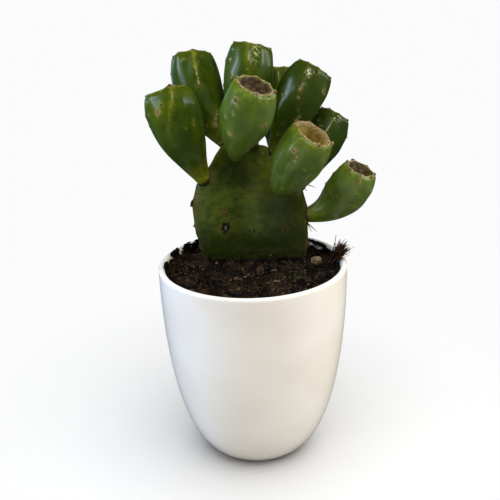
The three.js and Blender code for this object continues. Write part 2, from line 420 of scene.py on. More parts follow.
def soilPaint(name, tones):
    paint = Paint(name, Specular_IOR_Level=0.25)
    clump = paint.noise(0.012, detail=5, roughness=0.6)
    grain = paint.noise(0.0011, detail=4, roughness=0.7)
    base = paint.blend(tones["dark"], tones["brown"], paint.fade(clump, 0.44, 0.66))
    base = paint.blend(base, tones["light"], paint.fade(grain, 0.60, 0.70) * 0.7)
    tone = paint.mark("tone")
    colour = paint.blend(base, tones["tan"], paint.fade(tone, 0.955, 0.965))
    colour = paint.blend(colour, tones["light"], paint.fade(tone, 0.60, 0.92) * 0.55)
    # tone 0 is the bed itself, which takes no crumb colour
    deep = paint.fade(tone, 0.40, 0.12) * (0.7 * paint.fade(tone, 0.0, 0.02))
    colour = paint.blend(colour, tones["dark"], deep)
    moss = paint.mark("moss") * paint.fade(grain, 0.4, 0.6)
    colour = paint.blend(colour, tones["moss"], moss)
    return paint.finish(colour, 0.82 + 0.14 * grain, grain * 0.0016 + clump * 0.0005, 0.9)


soilTones = dict(dark=(0.0016, 0.0010, 0.0007), brown=(0.025, 0.0130, 0.0062), light=(0.085, 0.053, 0.028),
                 tan=(0.24, 0.165, 0.085), moss=(0.055, 0.085, 0.016))
mossPatch = dict(x=31 * mm, y=-17 * mm, size=6 * mm)


def mossShare(corners):
    away = np.hypot(corners[..., 0] - mossPatch["x"], (corners[..., 1] - mossPatch["y"]) * 1.6)
    return 1 - fade(away, mossPatch["size"] * 0.4, mossPatch["size"])


def makeSoil():
    paint = soilPaint("soil_mix", soilTones)
    edge = innerRadius(np.array(soil["level"])) - 0.2 * mm
    turn = np.linspace(0, 2 * math.pi, soilGrid["columns"], endpoint=False)
    sideZ = np.linspace(pot["floor"] + 0.3 * mm, soil["level"] - 4 * mm, soilGrid["sideRings"])
    side = innerRadius(sideZ) - 0.5 * mm
    top = edge * np.linspace(1, 0, soilGrid["rings"])[:-1] ** 0.9
    reach = np.concatenate([side, top])[:, None] + 0 * turn
    x = reach * np.cos(turn)
    y = reach * np.sin(turn)
    z = np.concatenate([sideZ[:, None] + 0 * turn, soilHeight(x[len(side):], y[len(side):])])
    rings = np.stack([x, y, z], axis=-1)
    middle = [0, 0, float(soilHeight(np.zeros(1), np.zeros(1))[0])]
    corners, faces = closedRings(rings, [0, 0, sideZ[0]], middle)
    makePiece("soil_bed", corners, faces, paint, ["soil"],
              dict(tone=np.zeros(len(corners)), moss=mossShare(corners)))
    makeCrumbs(paint, edge)
    makeWallCrumbs(paint)
    makeRoots()
    print("soil: bed, crumbs and fine roots")


def lumpShape():
    # an icosahedron: 12 corners on three golden rectangles
    gold = (1 + 5 ** 0.5) / 2
    corners = np.array([[0, s, t * gold] for s in (-1, 1) for t in (-1, 1)])
    corners = unit(np.concatenate([corners, np.roll(corners, 1, axis=1), np.roll(corners, 2, axis=1)]))
    apart = np.linalg.norm(corners[:, None] - corners[None], axis=-1)
    near = (apart > 0) & (apart < 1.2)
    faces = [[a, b, c] for a in range(12) for b in range(a + 1, 12) for c in range(b + 1, 12)
             if near[a, b] and near[b, c] and near[a, c]]
    outward = [f if np.dot(np.cross(corners[f[1]] - corners[f[0]], corners[f[2]] - corners[f[0]]),
                           corners[f[0]]) > 0 else f[::-1] for f in faces]
    return corners, np.array(outward)


crumbs = dict(count=9000, row=620, small=0.245 * mm, spread=0.5, largest=2.0 * mm, seed=11)


def crumbCopies(places, sizes, rng):
    # lumps with each corner pushed in or out, stretched and turned at random
    shape, faces = lumpShape()
    uneven = shape[None] * rng.uniform(0.65, 1.25, (len(places), 12, 1))
    stretch = rng.uniform(0.6, 1.25, (len(places), 1, 3)) * sizes[:, None, None]
    return manyCopies(uneven, faces, places, randomTurns(len(places), rng), stretch)


def makeCrumbs(paint, edge):
    rng = np.random.default_rng(crumbs["seed"])
    reach = edge * np.sqrt(rng.uniform(0, 1, crumbs["count"])) * 0.992
    turn = rng.uniform(0, 2 * math.pi, crumbs["count"])
    sizes = np.minimum(crumbs["small"] * rng.lognormal(0.45, crumbs["spread"], crumbs["count"]),
                       crumbs["largest"])
    x = reach * np.cos(turn)
    y = reach * np.sin(turn)
    # and a loose row of bigger ones along the front of the pad's foot
    row = rng.uniform(-padFoot["half"], padFoot["half"], crumbs["row"])
    x = np.concatenate([x, row])
    ahead = rng.uniform(0.2, 3.2, len(row)) * mm
    y = np.concatenate([y, padMiddleY(soil["level"]) - padFoot["thin"] - ahead])
    sizes = np.concatenate([sizes, rng.uniform(0.35, 1.25, len(row)) * mm])
    z = soilHeight(x, y) + sizes * rng.uniform(-0.2, 0.55, len(x))
    z[-len(row):] += rng.uniform(0, 1.6, len(row)) * mm * (0.4 + 0.8 * np.sin(row / (4.3 * mm)) ** 2)
    corners, faces = crumbCopies(np.stack([x, y, z], axis=-1), sizes, rng)
    tone = rng.uniform(0, 1, len(x))
    tone[-len(row):] *= 0.7
    makePiece("soil_crumbs", corners, [faces], paint, (),
              dict(tone=np.repeat(tone, 12), moss=mossShare(corners)), smooth=False)


# banks: where the soil was pushed high up the wall, as angle and width in degrees.
# a crumb stays where clump, back and bank outweigh its rise up the wall by more than the cut
wallSoil = dict(count=5000, climb=6.8 * mm, banks=((38, 13), (139, 11)), seed=23,
                clump=1.9, back=0.48, bank=0.5, rise=1.1, cut=0.25)


def makeWallCrumbs(paint):
    # crumbs stuck on the inner wall in ragged clumps: thick at the back, a few at the front
    rng = np.random.default_rng(wallSoil["seed"])
    turn = rng.uniform(0, 2 * math.pi, wallSoil["count"] * 4)
    rise = rng.uniform(0, 1, len(turn)) ** 1.4
    clump = roughNoise(np.stack([np.cos(turn) * 10, np.sin(turn) * 10, rise * 2.4], axis=-1), 5, 3)
    back = fade(np.sin(turn), -0.2, 0.4)
    banks = sum(np.exp(-(np.degrees(turn - math.radians(at)) / wide) ** 2) for at, wide in wallSoil["banks"])
    stay = (wallSoil["clump"] * clump + wallSoil["back"] * back + wallSoil["bank"] * banks
            - wallSoil["rise"] * rise)
    keep = np.flatnonzero(stay > wallSoil["cut"])[:wallSoil["count"]]
    turn = turn[keep]
    rise = rise[keep]
    z = soil["level"] + soil["tilt"] * pot["rim"] * np.cos(turn) + wallSoil["climb"] * rise - 0.4 * mm
    sizes = rng.uniform(0.3, 0.95, len(turn)) * mm * (1.2 - 0.4 * rise)
    reach = innerRadius(z) - sizes * 0.3
    places = np.stack([reach * np.cos(turn), reach * np.sin(turn), z], axis=-1)
    corners, faces = crumbCopies(places, sizes, rng)
    makePiece("wall_crumbs", corners, [faces], paint, (),
              dict(tone=np.repeat(rng.uniform(0, 0.5, len(turn)), 12), moss=np.zeros(len(corners))),
              smooth=False)


fineRoots = dict(count=95, steps=10, longest=17 * mm, thick=0.17 * mm, seed=31)


def rootPaint(name, dark, light):
    paint = Paint(name, Specular_IOR_Level=0.3)
    along = paint.noise(0.003, detail=3)
    grain = paint.noise(0.0004, detail=3, roughness=0.7)
    colour = paint.blend(dark, light, paint.fade(along + 0.4 * grain, 0.55, 0.85))
    return paint.finish(colour, 0.72 + 0.2 * grain, grain * 0.0002, 0.6)


def makeRoots():
    # short curling root hairs that lie on the soil: a start, a heading and a steady curl
    rng = np.random.default_rng(fineRoots["seed"])
    count, steps = fineRoots["count"], fineRoots["steps"]
    reach = (pot["rim"] - pot["wall"] - 5 * mm) * np.sqrt(rng.uniform(0.02, 1, count))
    turn = rng.uniform(0, 2 * math.pi, count)
    length = fineRoots["longest"] * rng.uniform(0.25, 1, count) ** 1.4
    heading = rng.uniform(0, 2 * math.pi, (count, 1)) + np.cumsum(
        rng.normal(0, 0.28, (count, steps)) + rng.normal(0, 0.12, (count, 1)), axis=1)
    x = (reach * np.cos(turn))[:, None] + np.cumsum(np.cos(heading), axis=1) * (length / steps)[:, None]
    y = (reach * np.sin(turn))[:, None] + np.cumsum(np.sin(heading), axis=1) * (length / steps)[:, None]
    inside = np.minimum(1, (pot["rim"] - pot["wall"] - 1.5 * mm) / np.maximum(np.hypot(x, y), 1e-9))
    x = x * inside
    y = y * inside
    arch = np.sin(np.linspace(0, math.pi, steps)) * rng.uniform(0, 1.6, (count, 1)) * mm
    paths = np.stack([x, y, soilHeight(x, y) + 0.35 * mm + arch], axis=-1)
    radii = fineRoots["thick"] * rng.uniform(0.5, 1.2, (count, 1)) * np.linspace(1, 0.45, steps)
    corners, faces = strands(paths, radii, 4)
    paint = rootPaint("fine_root", (0.034, 0.019, 0.010), (0.17, 0.110, 0.064))
    makePiece("fine_roots", corners, faces, paint)


# loose bits: each is a ball pushed about by noise, or a bent tube, in the space of its CAD node

def makeLump(node, name, paint, rough, squareness, seed):
    # radius 1 / (|x|^n + |y|^n + |z|^n)^(1/n) makes a ball squarer as n grows; noise then dents it
    low, high = (np.array(corner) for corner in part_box(node))
    middle = (low + high) / 2
    half = (high - low) / 2
    ways = roundGrid(44, 64)
    reach = (np.abs(ways) ** squareness).sum(axis=-1) ** (-1 / squareness)
    dent = 1 + rough * roughNoise(ways * 2.2 + seed, seed, 4)
    rings = middle + ways * (reach * dent)[..., None] * half * 0.98
    corners, faces = closedRings(rings, rings[0].mean(axis=0), rings[-1].mean(axis=0))
    makePiece(name, corners, faces, paint, [node])


def stonePaint():
    paint = Paint("tan_grit", Specular_IOR_Level=0.35)
    vein = paint.noise(0.003, detail=5, roughness=0.65)
    grain = paint.noise(0.0005, detail=3)
    colour = paint.blend((0.085, 0.05, 0.020), (0.25, 0.165, 0.080), paint.fade(vein, 0.38, 0.62))
    colour = paint.blend(colour, (0.33, 0.26, 0.17), paint.fade(grain, 0.58, 0.7) * 0.5)
    return paint.finish(colour, 0.7 + 0.2 * grain, vein * 0.0008 + grain * 0.0002, 0.8)


def barkPaint():
    paint = Paint("bark", Specular_IOR_Level=0.3)
    fibre = paint.noise(0.0012, detail=5, roughness=0.6, stretch=(1, 1, 0.25))
    grain = paint.noise(0.0004, detail=3)
    colour = paint.blend((0.02, 0.009, 0.005), (0.10, 0.045, 0.022), paint.fade(fibre, 0.4, 0.62))
    colour = paint.blend(colour, (0.19, 0.11, 0.065), paint.fade(grain, 0.6, 0.72) * 0.6)
    return paint.finish(colour, 0.75 + 0.2 * grain, fibre * 0.0012 + grain * 0.0002, 0.9)


twigs = dict(steps=40, branchFrom=14, branchSteps=6, branchStep=(0.7 * mm, -0.7 * mm, 0.1 * mm))


def makeTwig(node, name, paint, thick, seed):
    # a tube along the CAD piece's own middle line, swelling at its joints and wandering a little,
    # with a thin side branch
    line = measureLine(node, np.array(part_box(node)[0]))[0]
    rng = np.random.default_rng(seed)
    share = np.linspace(0, 1, twigs["steps"])
    path = linePoint(line, share)
    wander = np.stack([softNoise(np.stack([share * 7, share * 0 + k, share * 0], axis=-1), seed)
                       for k in range(3)], axis=-1)
    path = path + wander * thick * 0.8
    knots = 1 + 0.35 * softNoise(np.stack([share * 11, share * 0, share * 0], axis=-1), seed + 9)
    taper = lerp(1.15, 0.6, share) * knots * np.sqrt(np.clip(np.sin(share * math.pi) * 6, 0.15, 1))
    twigCorners, faces = strands(path[None], (thick * taper)[None], 10)
    walk = rng.normal(0, 0.5 * mm, (twigs["branchSteps"], 3)) + twigs["branchStep"]
    side = path[twigs["branchFrom"]] + np.cumsum(walk, axis=0)
    sideRadii = thick * np.linspace(0.5, 0.2, twigs["branchSteps"])
    twigSide, sideFaces = strands(side[None], sideRadii[None], 6)
    faces = faces + [part + len(twigCorners) for part in sideFaces]
    makePiece(name, np.concatenate([twigCorners, twigSide]), faces, paint, [node])


tuft = dict(count=230, steps=10, thick=0.33 * mm, curl=1.55 * mm, flare=1.12, length=14 * mm,
            stray=15 * mm, strayThick=0.36 * mm, margin=3 * mm, seed=47)


def makeTuft():
    # fibres from a tight foot through the tuft's middle line to an oval fan of ends.
    # a fibre's place is line(s) + spread(s) * (a * across + b * through), with a, b fixed for it
    line, corners = measureLine("root_tuft", np.array([0, 0, -1.0]))
    rng = np.random.default_rng(tuft["seed"])
    count, steps = tuft["count"], tuft["steps"]
    share = np.linspace(-0.06, 1, steps)
    middle = linePoint(line, share)
    along = lineAlong(line, share)
    across = unit(np.cross(along, [0.45, 0.75, 0.5]))
    through = np.cross(along, across)
    last = (corners - linePoint(line, 1)) @ along[-1] > -2 * mm
    halfWide = np.abs((corners[last] - middle[-1]) @ across[-1]).max() * tuft["flare"]
    halfThin = np.abs((corners[last] - middle[-1]) @ through[-1]).max() * 1.2
    a, b = unit(rng.normal(size=(count, 2))).T * np.sqrt(rng.uniform(0, 1, count))
    spread = lerp(0.55, 1.0, fade(share, 0.1, 1.0))
    reach = (a * halfWide)[:, None, None] * across + (b * halfThin)[:, None, None] * through
    length = rng.uniform(0.62, 1.04, count)
    paths = middle + spread[:, None] * reach
    curl = rng.normal(0, tuft["curl"], (count, 1, 3)) * (share ** 3)[:, None] * np.sign(share + 0.1)[:, None]
    paths = paths + curl
    stretch = share[None] * (length[:, None] - 1)
    paths = paths + stretch[..., None] * unit(line[1] + line[0]) * tuft["length"]
    radii = tuft["thick"] * rng.uniform(0.5, 1.3, (count, 1)) * np.linspace(1.1, 0.35, steps)
    # one long stray fibre that stands up above the rest
    stray = np.linspace(0, 1, steps)[:, None]
    start = middle[5] + through[5] * halfThin * 0.3
    lean = np.array([-0.2, 0.1, 1.0]) * tuft["stray"]
    paths = np.concatenate([paths, (start + stray * lean + stray ** 2 * [3 * mm, -1 * mm, 0])[None]])
    radii = np.concatenate([radii, (tuft["strayThick"] * np.linspace(1.1, 0.5, steps))[None]])
    fibreCorners, faces = strands(paths, radii, 4)
    low, high = (np.array(corner) for corner in cadBox)
    fibreCorners = np.clip(fibreCorners, low - tuft["margin"], high + tuft["margin"])
    tone = np.repeat(rng.uniform(0, 1, count + 1), steps * 4)
    paint = Paint("tuft_fibre", Specular_IOR_Level=0.3)
    grain = paint.noise(0.0008, detail=3)
    mark = paint.mark("tone")
    colour = paint.blend((0.010, 0.004, 0.002), (0.12, 0.042, 0.017), paint.fade(mark, 0.3, 0.8))
    colour = paint.blend(colour, (0.14, 0.065, 0.035), paint.fade(mark, 0.86, 0.96))
    paint.finish(colour, 0.6 + 0.3 * grain, grain * 0.0002, 0.5)
    makePiece("root_tuft_fibres", fibreCorners, faces, paint, ["root_tuft"], dict(tone=tone))


def makeLooseBits():
    makeLump("pebble", "grit_pebble", stonePaint(), 0.10, 3.2, 3)
    makeLump("bark_chip", "bark_flake", barkPaint(), 0.22, 2.6, 8)
    dry = rootPaint("dry_root", (0.030, 0.017, 0.010), (0.19, 0.120, 0.074))
    makeTwig("twig", "dry_twig", dry, 0.62 * mm, 4)
    makeTwig("rootlet", "dry_rootlet", dry, 0.5 * mm, 6)
    makeTuft()
    print("loose bits: pebble, bark, twig, rootlet, tuft")


# pad: a flat pillow drawn inside the CAD pad's own outline, with areoles pressed into its skin

pad = dict(
    columns=380, rings=110, centreZ=162 * mm, halfThickness=9 * mm, edgeSharpness=4.76, reliefSeed=71,
    # areoles on the front skin: x and z in mm, size in mm, and how they look
    front=[
        (-18.6, 173.3, 1.15, "orange"), (-18.2, 160.6, 3.1, "bruise"), (-6.5, 187.8, 0.9, "ring"),
        (23.7, 158.0, 1.5, "ring"), (1.6, 157.8, 1.2, "pit"), (5.4, 156.0, 0.8, "pit"),
        (-1.6, 158.6, 0.6, "pit"), (10.3, 153.5, 0.6, "pit"), (-24.2, 187.9, 0.6, "pit"),
        (-36.1, 179.3, 1.1, "woolly"), (13.2, 139.8, 1.6, "silver"), (16.6, 209.4, 0.8, "silver"),
        (-33.4, 146.0, 0.8, "pit"), (30.5, 143.5, 0.9, "pit"), (-8.5, 165.5, 0.5, "pit"),
        (14.0, 172.0, 0.5, "pit"), (-28.0, 165.0, 0.5, "pit"), (-22.0, 168.4, 0.4, "pit"),
        (-12.6, 156.2, 0.45, "pit"), (8.2, 181.0, 0.4, "pit"), (26.5, 168.0, 0.45, "pit"),
    ],
    # on the back skin they stand in five staggered rows, shorter towards the top
    back=[(x + 6 * (row % 2), 148 + 15 * row, 1.3, "woolly") for row in range(5)
          for x in (-28, -15, -2, 11, 24) if abs(x + 6 * (row % 2)) < 33 - 4 * max(row - 2, 0)],
    # areoles on the edge: angle round the outline in degrees from the right, size, cushion size
    edge=[(160.5, 2.6, 3.9), (183, 1.2, 0.8), (38, 1.6, 1.1), (14, 1.3, 0.8), (-2, 1.3, 1.1), (205, 1.1, 0.7),
          (-24, 1.2, 0.7), (224, 1.1, 0.7), (66, 1.1, 0.7)],
    # long spines: angle round the outline, lean above the level in degrees, length in mm
    spines=[(38, -8, 10.5), (38, 24, 5), (36, -40, 5.5), (-3, -38, 7.5), (-4, -62, 5), (-1, 10, 3.5)],
    spineThick=0.42 * mm,
)


def measurePad():
    # the mid plane y = a + b z splits the solid evenly; the corners on it are its outline
    corners = nodeCorners("main_pad")
    lean = np.polyfit(corners[:, 2], corners[:, 1], 1)
    middle = np.array([0.0, pad["centreZ"]])
    away = corners[:, [0, 2]] - middle
    reach = np.hypot(*away.T)
    onEdge = (np.abs(corners[:, 1] - np.polyval(lean, corners[:, 2])) < 0.3 * mm) & (reach > 20 * mm)
    turn = np.arctan2(away[onEdge, 1], away[onEdge, 0])
    order = np.argsort(turn)
    turn, reach = turn[order], reach[onEdge][order]
    # a smooth closed curve through them: the slope at each is taken from its two neighbours
    turn = np.concatenate([turn[-3:] - 2 * math.pi, turn, turn[:3] + 2 * math.pi])
    reach = np.concatenate([reach[-3:], reach, reach[:3]])
    return dict(lean=lean, middle=middle, turn=turn, reach=reach, slope=np.gradient(reach, turn))


def padReach(at):
    # cubic through the measured outline: (1-s)^2(1+2s) r0 + s^2(3-2s) r1 + slopes
    turn, reach, slope = (measured[key] for key in ("turn", "reach", "slope"))
    at = angleBetween(at, 0)
    cell = np.clip(np.searchsorted(turn, at) - 1, 0, len(turn) - 2)
    step = turn[cell + 1] - turn[cell]
    s = (at - turn[cell]) / step
    return ((1 + 2 * s) * (1 - s) ** 2 * reach[cell] + s * s * (3 - 2 * s) * reach[cell + 1]
            + s * (1 - s) ** 2 * step * slope[cell] - s * s * (1 - s) * step * slope[cell + 1])


def padMiddleY(z):
    return np.polyval(measured["lean"], z)


def padHalf(ring):
    # half thickness * sqrt(1 - ring^sharpness): flat faces and a round edge
    return pad["halfThickness"] * np.sqrt(np.clip(1 - ring ** pad["edgeSharpness"], 0, 1))


def padDistance(points):
    # the pillow's own equation, ring^n + (face / half)^2 - 1, over the length of its slope: close to the
    # distance from the pad's skin where that is small
    away = points[..., [0, 2]] - measured["middle"]
    reach = padReach(np.arctan2(away[..., 1], away[..., 0]))
    ring = np.hypot(away[..., 0], away[..., 1]) / reach
    face = (points[..., 1] - padMiddleY(points[..., 2])) / pad["halfThickness"]
    power = pad["edgeSharpness"]
    slope = np.hypot(power * ring ** (power - 1) / reach, 2 * face / pad["halfThickness"])
    return (ring ** power + face ** 2 - 1) / np.maximum(slope, 1)


def areoleRelief(away, size, look):
    # a low broad mound with a small pit at its top; rings are a fine groove round a flat spot
    mound = 0.42 * mm * np.exp(-(away / (2.6 * size)) ** 2)
    if look == "ring":
        return 0.6 * mound - 0.14 * mm * np.exp(-((away - size) / (0.3 * size)) ** 2)
    deep = 0.5 if look in ("pit", "bruise") else 0.25
    return mound - deep * mm * np.exp(-(away / (0.75 * size)) ** 2)


def padPaint():
    paint = Paint("pad_skin", Specular_IOR_Level=0.12, Coat_Weight=0.17, Coat_Roughness=0.18)
    broad = paint.noise(0.016, detail=3, roughness=0.55)
    mottle = paint.noise(0.0046, detail=5, roughness=0.62)
    grain = paint.noise(0.0011, detail=4, roughness=0.7)
    leather = paint.cells(0.0021)
    colour = paint.blend((0.034, 0.053, 0.003), (0.068, 0.092, 0.007), paint.fade(broad, 0.36, 0.64))
    colour = paint.blend(colour, (0.020, 0.036, 0.003), paint.fade(mottle, 0.46, 0.66) * 0.6)
    colour = paint.blend(colour, (0.088, 0.110, 0.014), paint.fade(mottle, 0.48, 0.32) * 0.4)
    # the pale mark is partly the skin's own bloom and partly painted sheen
    colour = paint.blend(colour, (0.105, 0.130, 0.038), paint.mark("bloom_and_painted_light") * (0.25 + 0.75 * grain))
    colour = paint.blend(colour, (0.050, 0.068, 0.030), paint.mark("blue") * (0.3 + 0.7 * mottle))
    # painted highlight: this yellow stands for light caught high on the pad
    colour = paint.blend(colour, (0.105, 0.120, 0.002), paint.mark("yellow_and_painted_highlight") * 0.85)
    colour = paint.blend(colour, (0.010, 0.016, 0.001), paint.mark("shade") * (0.50 + 0.50 * broad))
    speck = paint.fade(grain, 0.59, 0.66) * paint.fade(mottle, 0.38, 0.52)
    colour = paint.blend(colour, (0.008, 0.012, 0.002), speck * 0.85)
    pale = paint.fade(paint.cells(0.0023), 0.16, 0.08) * paint.fade(grain, 0.45, 0.6)
    colour = paint.blend(colour, (0.14, 0.16, 0.07), pale * 0.34)
    cork = paint.mark("cork") * paint.fade(mottle + 0.5 * grain, 0.50, 0.80)
    colour = paint.blend(colour, (0.150, 0.072, 0.018), cork)
    colour = paint.blend(colour, (0.17, 0.066, 0.022), paint.mark("orange") * paint.fade(grain, 0.35, 0.5))
    colour = paint.blend(colour, (0.008, 0.006, 0.004), paint.mark("dark"))
    colour = paint.blend(colour, (0.14, 0.13, 0.12), paint.mark("grey") * paint.fade(grain, 0.42, 0.58))
    dirt = paint.mark("dirt") * paint.fade(mottle, 0.38, 0.58)
    colour = paint.blend(colour, (0.012, 0.008, 0.005), dirt * 0.9)
    rough = 0.40 + 0.16 * mottle + 0.2 * cork + 0.25 * dirt
    height = mottle * 0.0011 + grain * 0.0004 + broad * 0.0006 + leather * 0.0004
    return paint.finish(colour, rough, height, 0.75)


def patch(x, z, at, reach, power=2):
    # 1 at the patch's middle, falling away as exp(-d^power); at and reach are in mm
    across = (x / mm - at[0]) / reach[0]
    upward = (z / mm - at[1]) / reach[1]
    return np.exp(-np.hypot(across, upward) ** power)


def makePad():
    # rings run from the middle of the front skin, round the edge, to the middle of the back skin
    turn = np.linspace(0, 2 * math.pi, pad["columns"], endpoint=False)
    outer = padReach(turn)
    down = np.linspace(0, 1, pad["rings"] + 1)[1:]
    flat = np.sort(np.concatenate([down * 0.9, 0.9 + 0.1 * np.sin(np.linspace(0, math.pi / 2, 16)[1:])]))
    ring = np.concatenate([flat, flat[::-1][1:]])
    side = np.concatenate([-np.ones(len(flat)), np.ones(len(flat) - 1)])
    reach = ring[:, None] * outer
    x = reach * np.cos(turn)
    z = pad["centreZ"] + reach * np.sin(turn)
    face = (side * padHalf(ring))[:, None] + 0 * x
    points = np.stack([x, face, z], axis=-1)
    # slow swells and dents, small leathery bumps, then the areoles
    lift = 0.75 * mm * roughNoise(points / (22 * mm), pad["reliefSeed"], 3)
    lift = lift + 0.30 * mm * softNoise(points / (5 * mm), pad["reliefSeed"] + 5)
    lift = lift + 0.10 * mm * softNoise(points / (2.3 * mm), pad["reliefSeed"] + 9)
    dark, cork, orange, grey = np.zeros((4, *x.shape))
    for spots, sign in ((pad["front"], -1), (pad["back"], 1)):
        for spotX, spotZ, size, look in spots:
            away = np.hypot(x - spotX * mm, z - spotZ * mm)
            here = (side == sign)[:, None] * fade(ring, 1.0, 0.93)[:, None]
            lift = lift + here * areoleRelief(away, size * mm, look)
            if look == "bruise":
                away = np.hypot(x - spotX * mm, (z - spotZ * mm) * 0.62)
                grey = np.maximum(grey, here * (1 - fade(away, 0.15 * size * mm, 0.42 * size * mm)))
            away = away + 0.4 * size * mm * softNoise(points / (0.9 * mm), 3)
            wide = dict(pit=1.0, bruise=1.05, ring=0.45, orange=0.5).get(look, 0.8)
            full = 0.7 if look == "bruise" else 0.35
            dark = np.maximum(dark, here * (1 - fade(away, full * size * mm, wide * size * mm)))
            halo = here * np.exp(-((away - 1.2 * size * mm) / (0.5 * size * mm)) ** 2)
            if look == "orange":
                orange = np.maximum(orange, halo)
            else:
                cork = np.maximum(cork, halo * dict(woolly=0.8, ring=0.3).get(look, 0.1))
    nearEdge = fade(ring, 0.8, 1.0)[:, None]
    for degrees, size, cushion in pad["edge"]:
        away = np.hypot(angleBetween(turn, math.radians(degrees))[None] * outer, face)
        near = nearEdge * np.exp(-(away / (1.5 * size * mm)) ** 2)
        lift = lift + near * 0.9 * mm
        dark = np.maximum(dark, near * 0.9)
        cork = np.maximum(cork, nearEdge * np.exp(-(away / (3.0 * size * mm)) ** 2))
    # the lift is square to the skin: sideways at the edge, front to back on the faces
    outward = np.stack([np.cos(turn) * ring[:, None] ** 8, face / pad["halfThickness"],
                        np.sin(turn) * ring[:, None] ** 8], axis=-1)
    points[..., 1] += padMiddleY(z)
    points = points + unit(outward) * lift[..., None]
    front = (side < 0)[:, None] * fade(ring, 1.02, 0.96)[:, None]
    streaks = 0.5 + 0.5 * roughNoise(points * [1, 1, 0.3] / (3 * mm), 5, 2)
    # pale marks: the skin's own waxy bloom, except the two painted highlights below
    bloom_and_painted_light = patch(x, z, (3.5, 168), (5.5, 24)) * front * (0.35 + 0.75 * streaks)
    bloom_and_painted_light = bloom_and_painted_light + 0.28 * patch(x, z, (-36, 170), (8, 34)) + 0.3 * patch(x, z, (30, 150), (16, 12)) * front
    # painted highlight: a whitish sheen patch high on the left shoulder
    bloom_and_painted_light = bloom_and_painted_light + 0.8 * patch(x, z, (-27, 197), (4, 5)) * front
    bloom_and_painted_light = bloom_and_painted_light + 0.45 * patch(x, z, (4, 170), (26, 30)) * (1 - front)
    # painted highlight: a whitish glint down the rounded right edge
    bloom_and_painted_light = bloom_and_painted_light + 0.7 * patch(x, z, (34, 181), (2.5, 9)) * nearEdge
    blue = patch(x, z, (18.5, 168), (9.5, 17), 3) * front * (0.5 + 0.5 * streaks)
    # painted highlight: yellow where light catches a patch high on the front and the pad's top edge
    yellow_and_painted_highlight = 0.5 * patch(x, z, (12.5, 199), (4.5, 15)) * front
    yellow_and_painted_highlight = yellow_and_painted_highlight + 0.6 * fade(ring, 0.93, 1.0)[:, None] * fade(z, 190 * mm, 205 * mm)
    shade = 0.8 * patch(x, z, (-9, 200), (13, 13), 3) * front + 1.7 * (1 - fade(z, 136 * mm, 168 * mm))
    shade = shade + 0.6 * patch(x, z, (30, 172), (9, 20)) * front
    cork = np.maximum(cork, patch(x, z, (-29.5, 200), (2.6, 4.2)) + 0.3 * patch(x, z, (36, 186), (3, 5)))
    dirt = 1 - fade(z + 2.4 * mm * softNoise(points / (3.5 * mm), 9), 137 * mm, 144 * mm)
    middle = np.array([[0, points[k, :, 1].mean(), pad["centreZ"]] for k in (0, -1)])
    corners, faces = closedRings(points[:, ::-1], middle[0], middle[1])
    marks = dict(bloom_and_painted_light=bloom_and_painted_light, blue=blue, yellow_and_painted_highlight=yellow_and_painted_highlight, shade=shade, cork=cork, dark=dark, dirt=dirt,
                 orange=orange, grey=grey)
    marks = {name: withPoles(np.clip(values[:, ::-1], 0, 1)) for name, values in marks.items()}
    makePiece("pad_body", corners, faces, padPaint(), ["main_pad"], marks)
    for spots, sign in ((pad["front"], -1), (pad["back"], 1)):
        for spotX, spotZ, size, look in spots:
            inside = np.array([spotX, spotZ]) * mm - measured["middle"]
            spotRing = np.hypot(*inside) / padReach(np.arctan2(inside[1], inside[0]))
            y = padMiddleY(spotZ * mm) + sign * (padHalf(spotRing) + 0.2 * mm)
            if look in ("woolly", "silver"):
                areoles.append(([spotX * mm, y, spotZ * mm], [0, sign, 0.05 * sign], size * 0.6 * mm, look))
    for degrees, size, cushion in pad["edge"]:
        at, out = padEdge(degrees, 0.5 * mm)
        areoles.append((at, out, cushion * mm, "edge"))
    print("pad:", len(corners), "corners")


def padEdge(degrees, beyond):
    # a point just outside the pad's outline, and the way out of it
    a = math.radians(degrees)
    reach = float(padReach(np.array([a]))[0]) + beyond
    z = pad["centreZ"] + reach * math.sin(a)
    return [reach * math.cos(a), padMiddleY(z), z], [math.cos(a), 0, math.sin(a)]
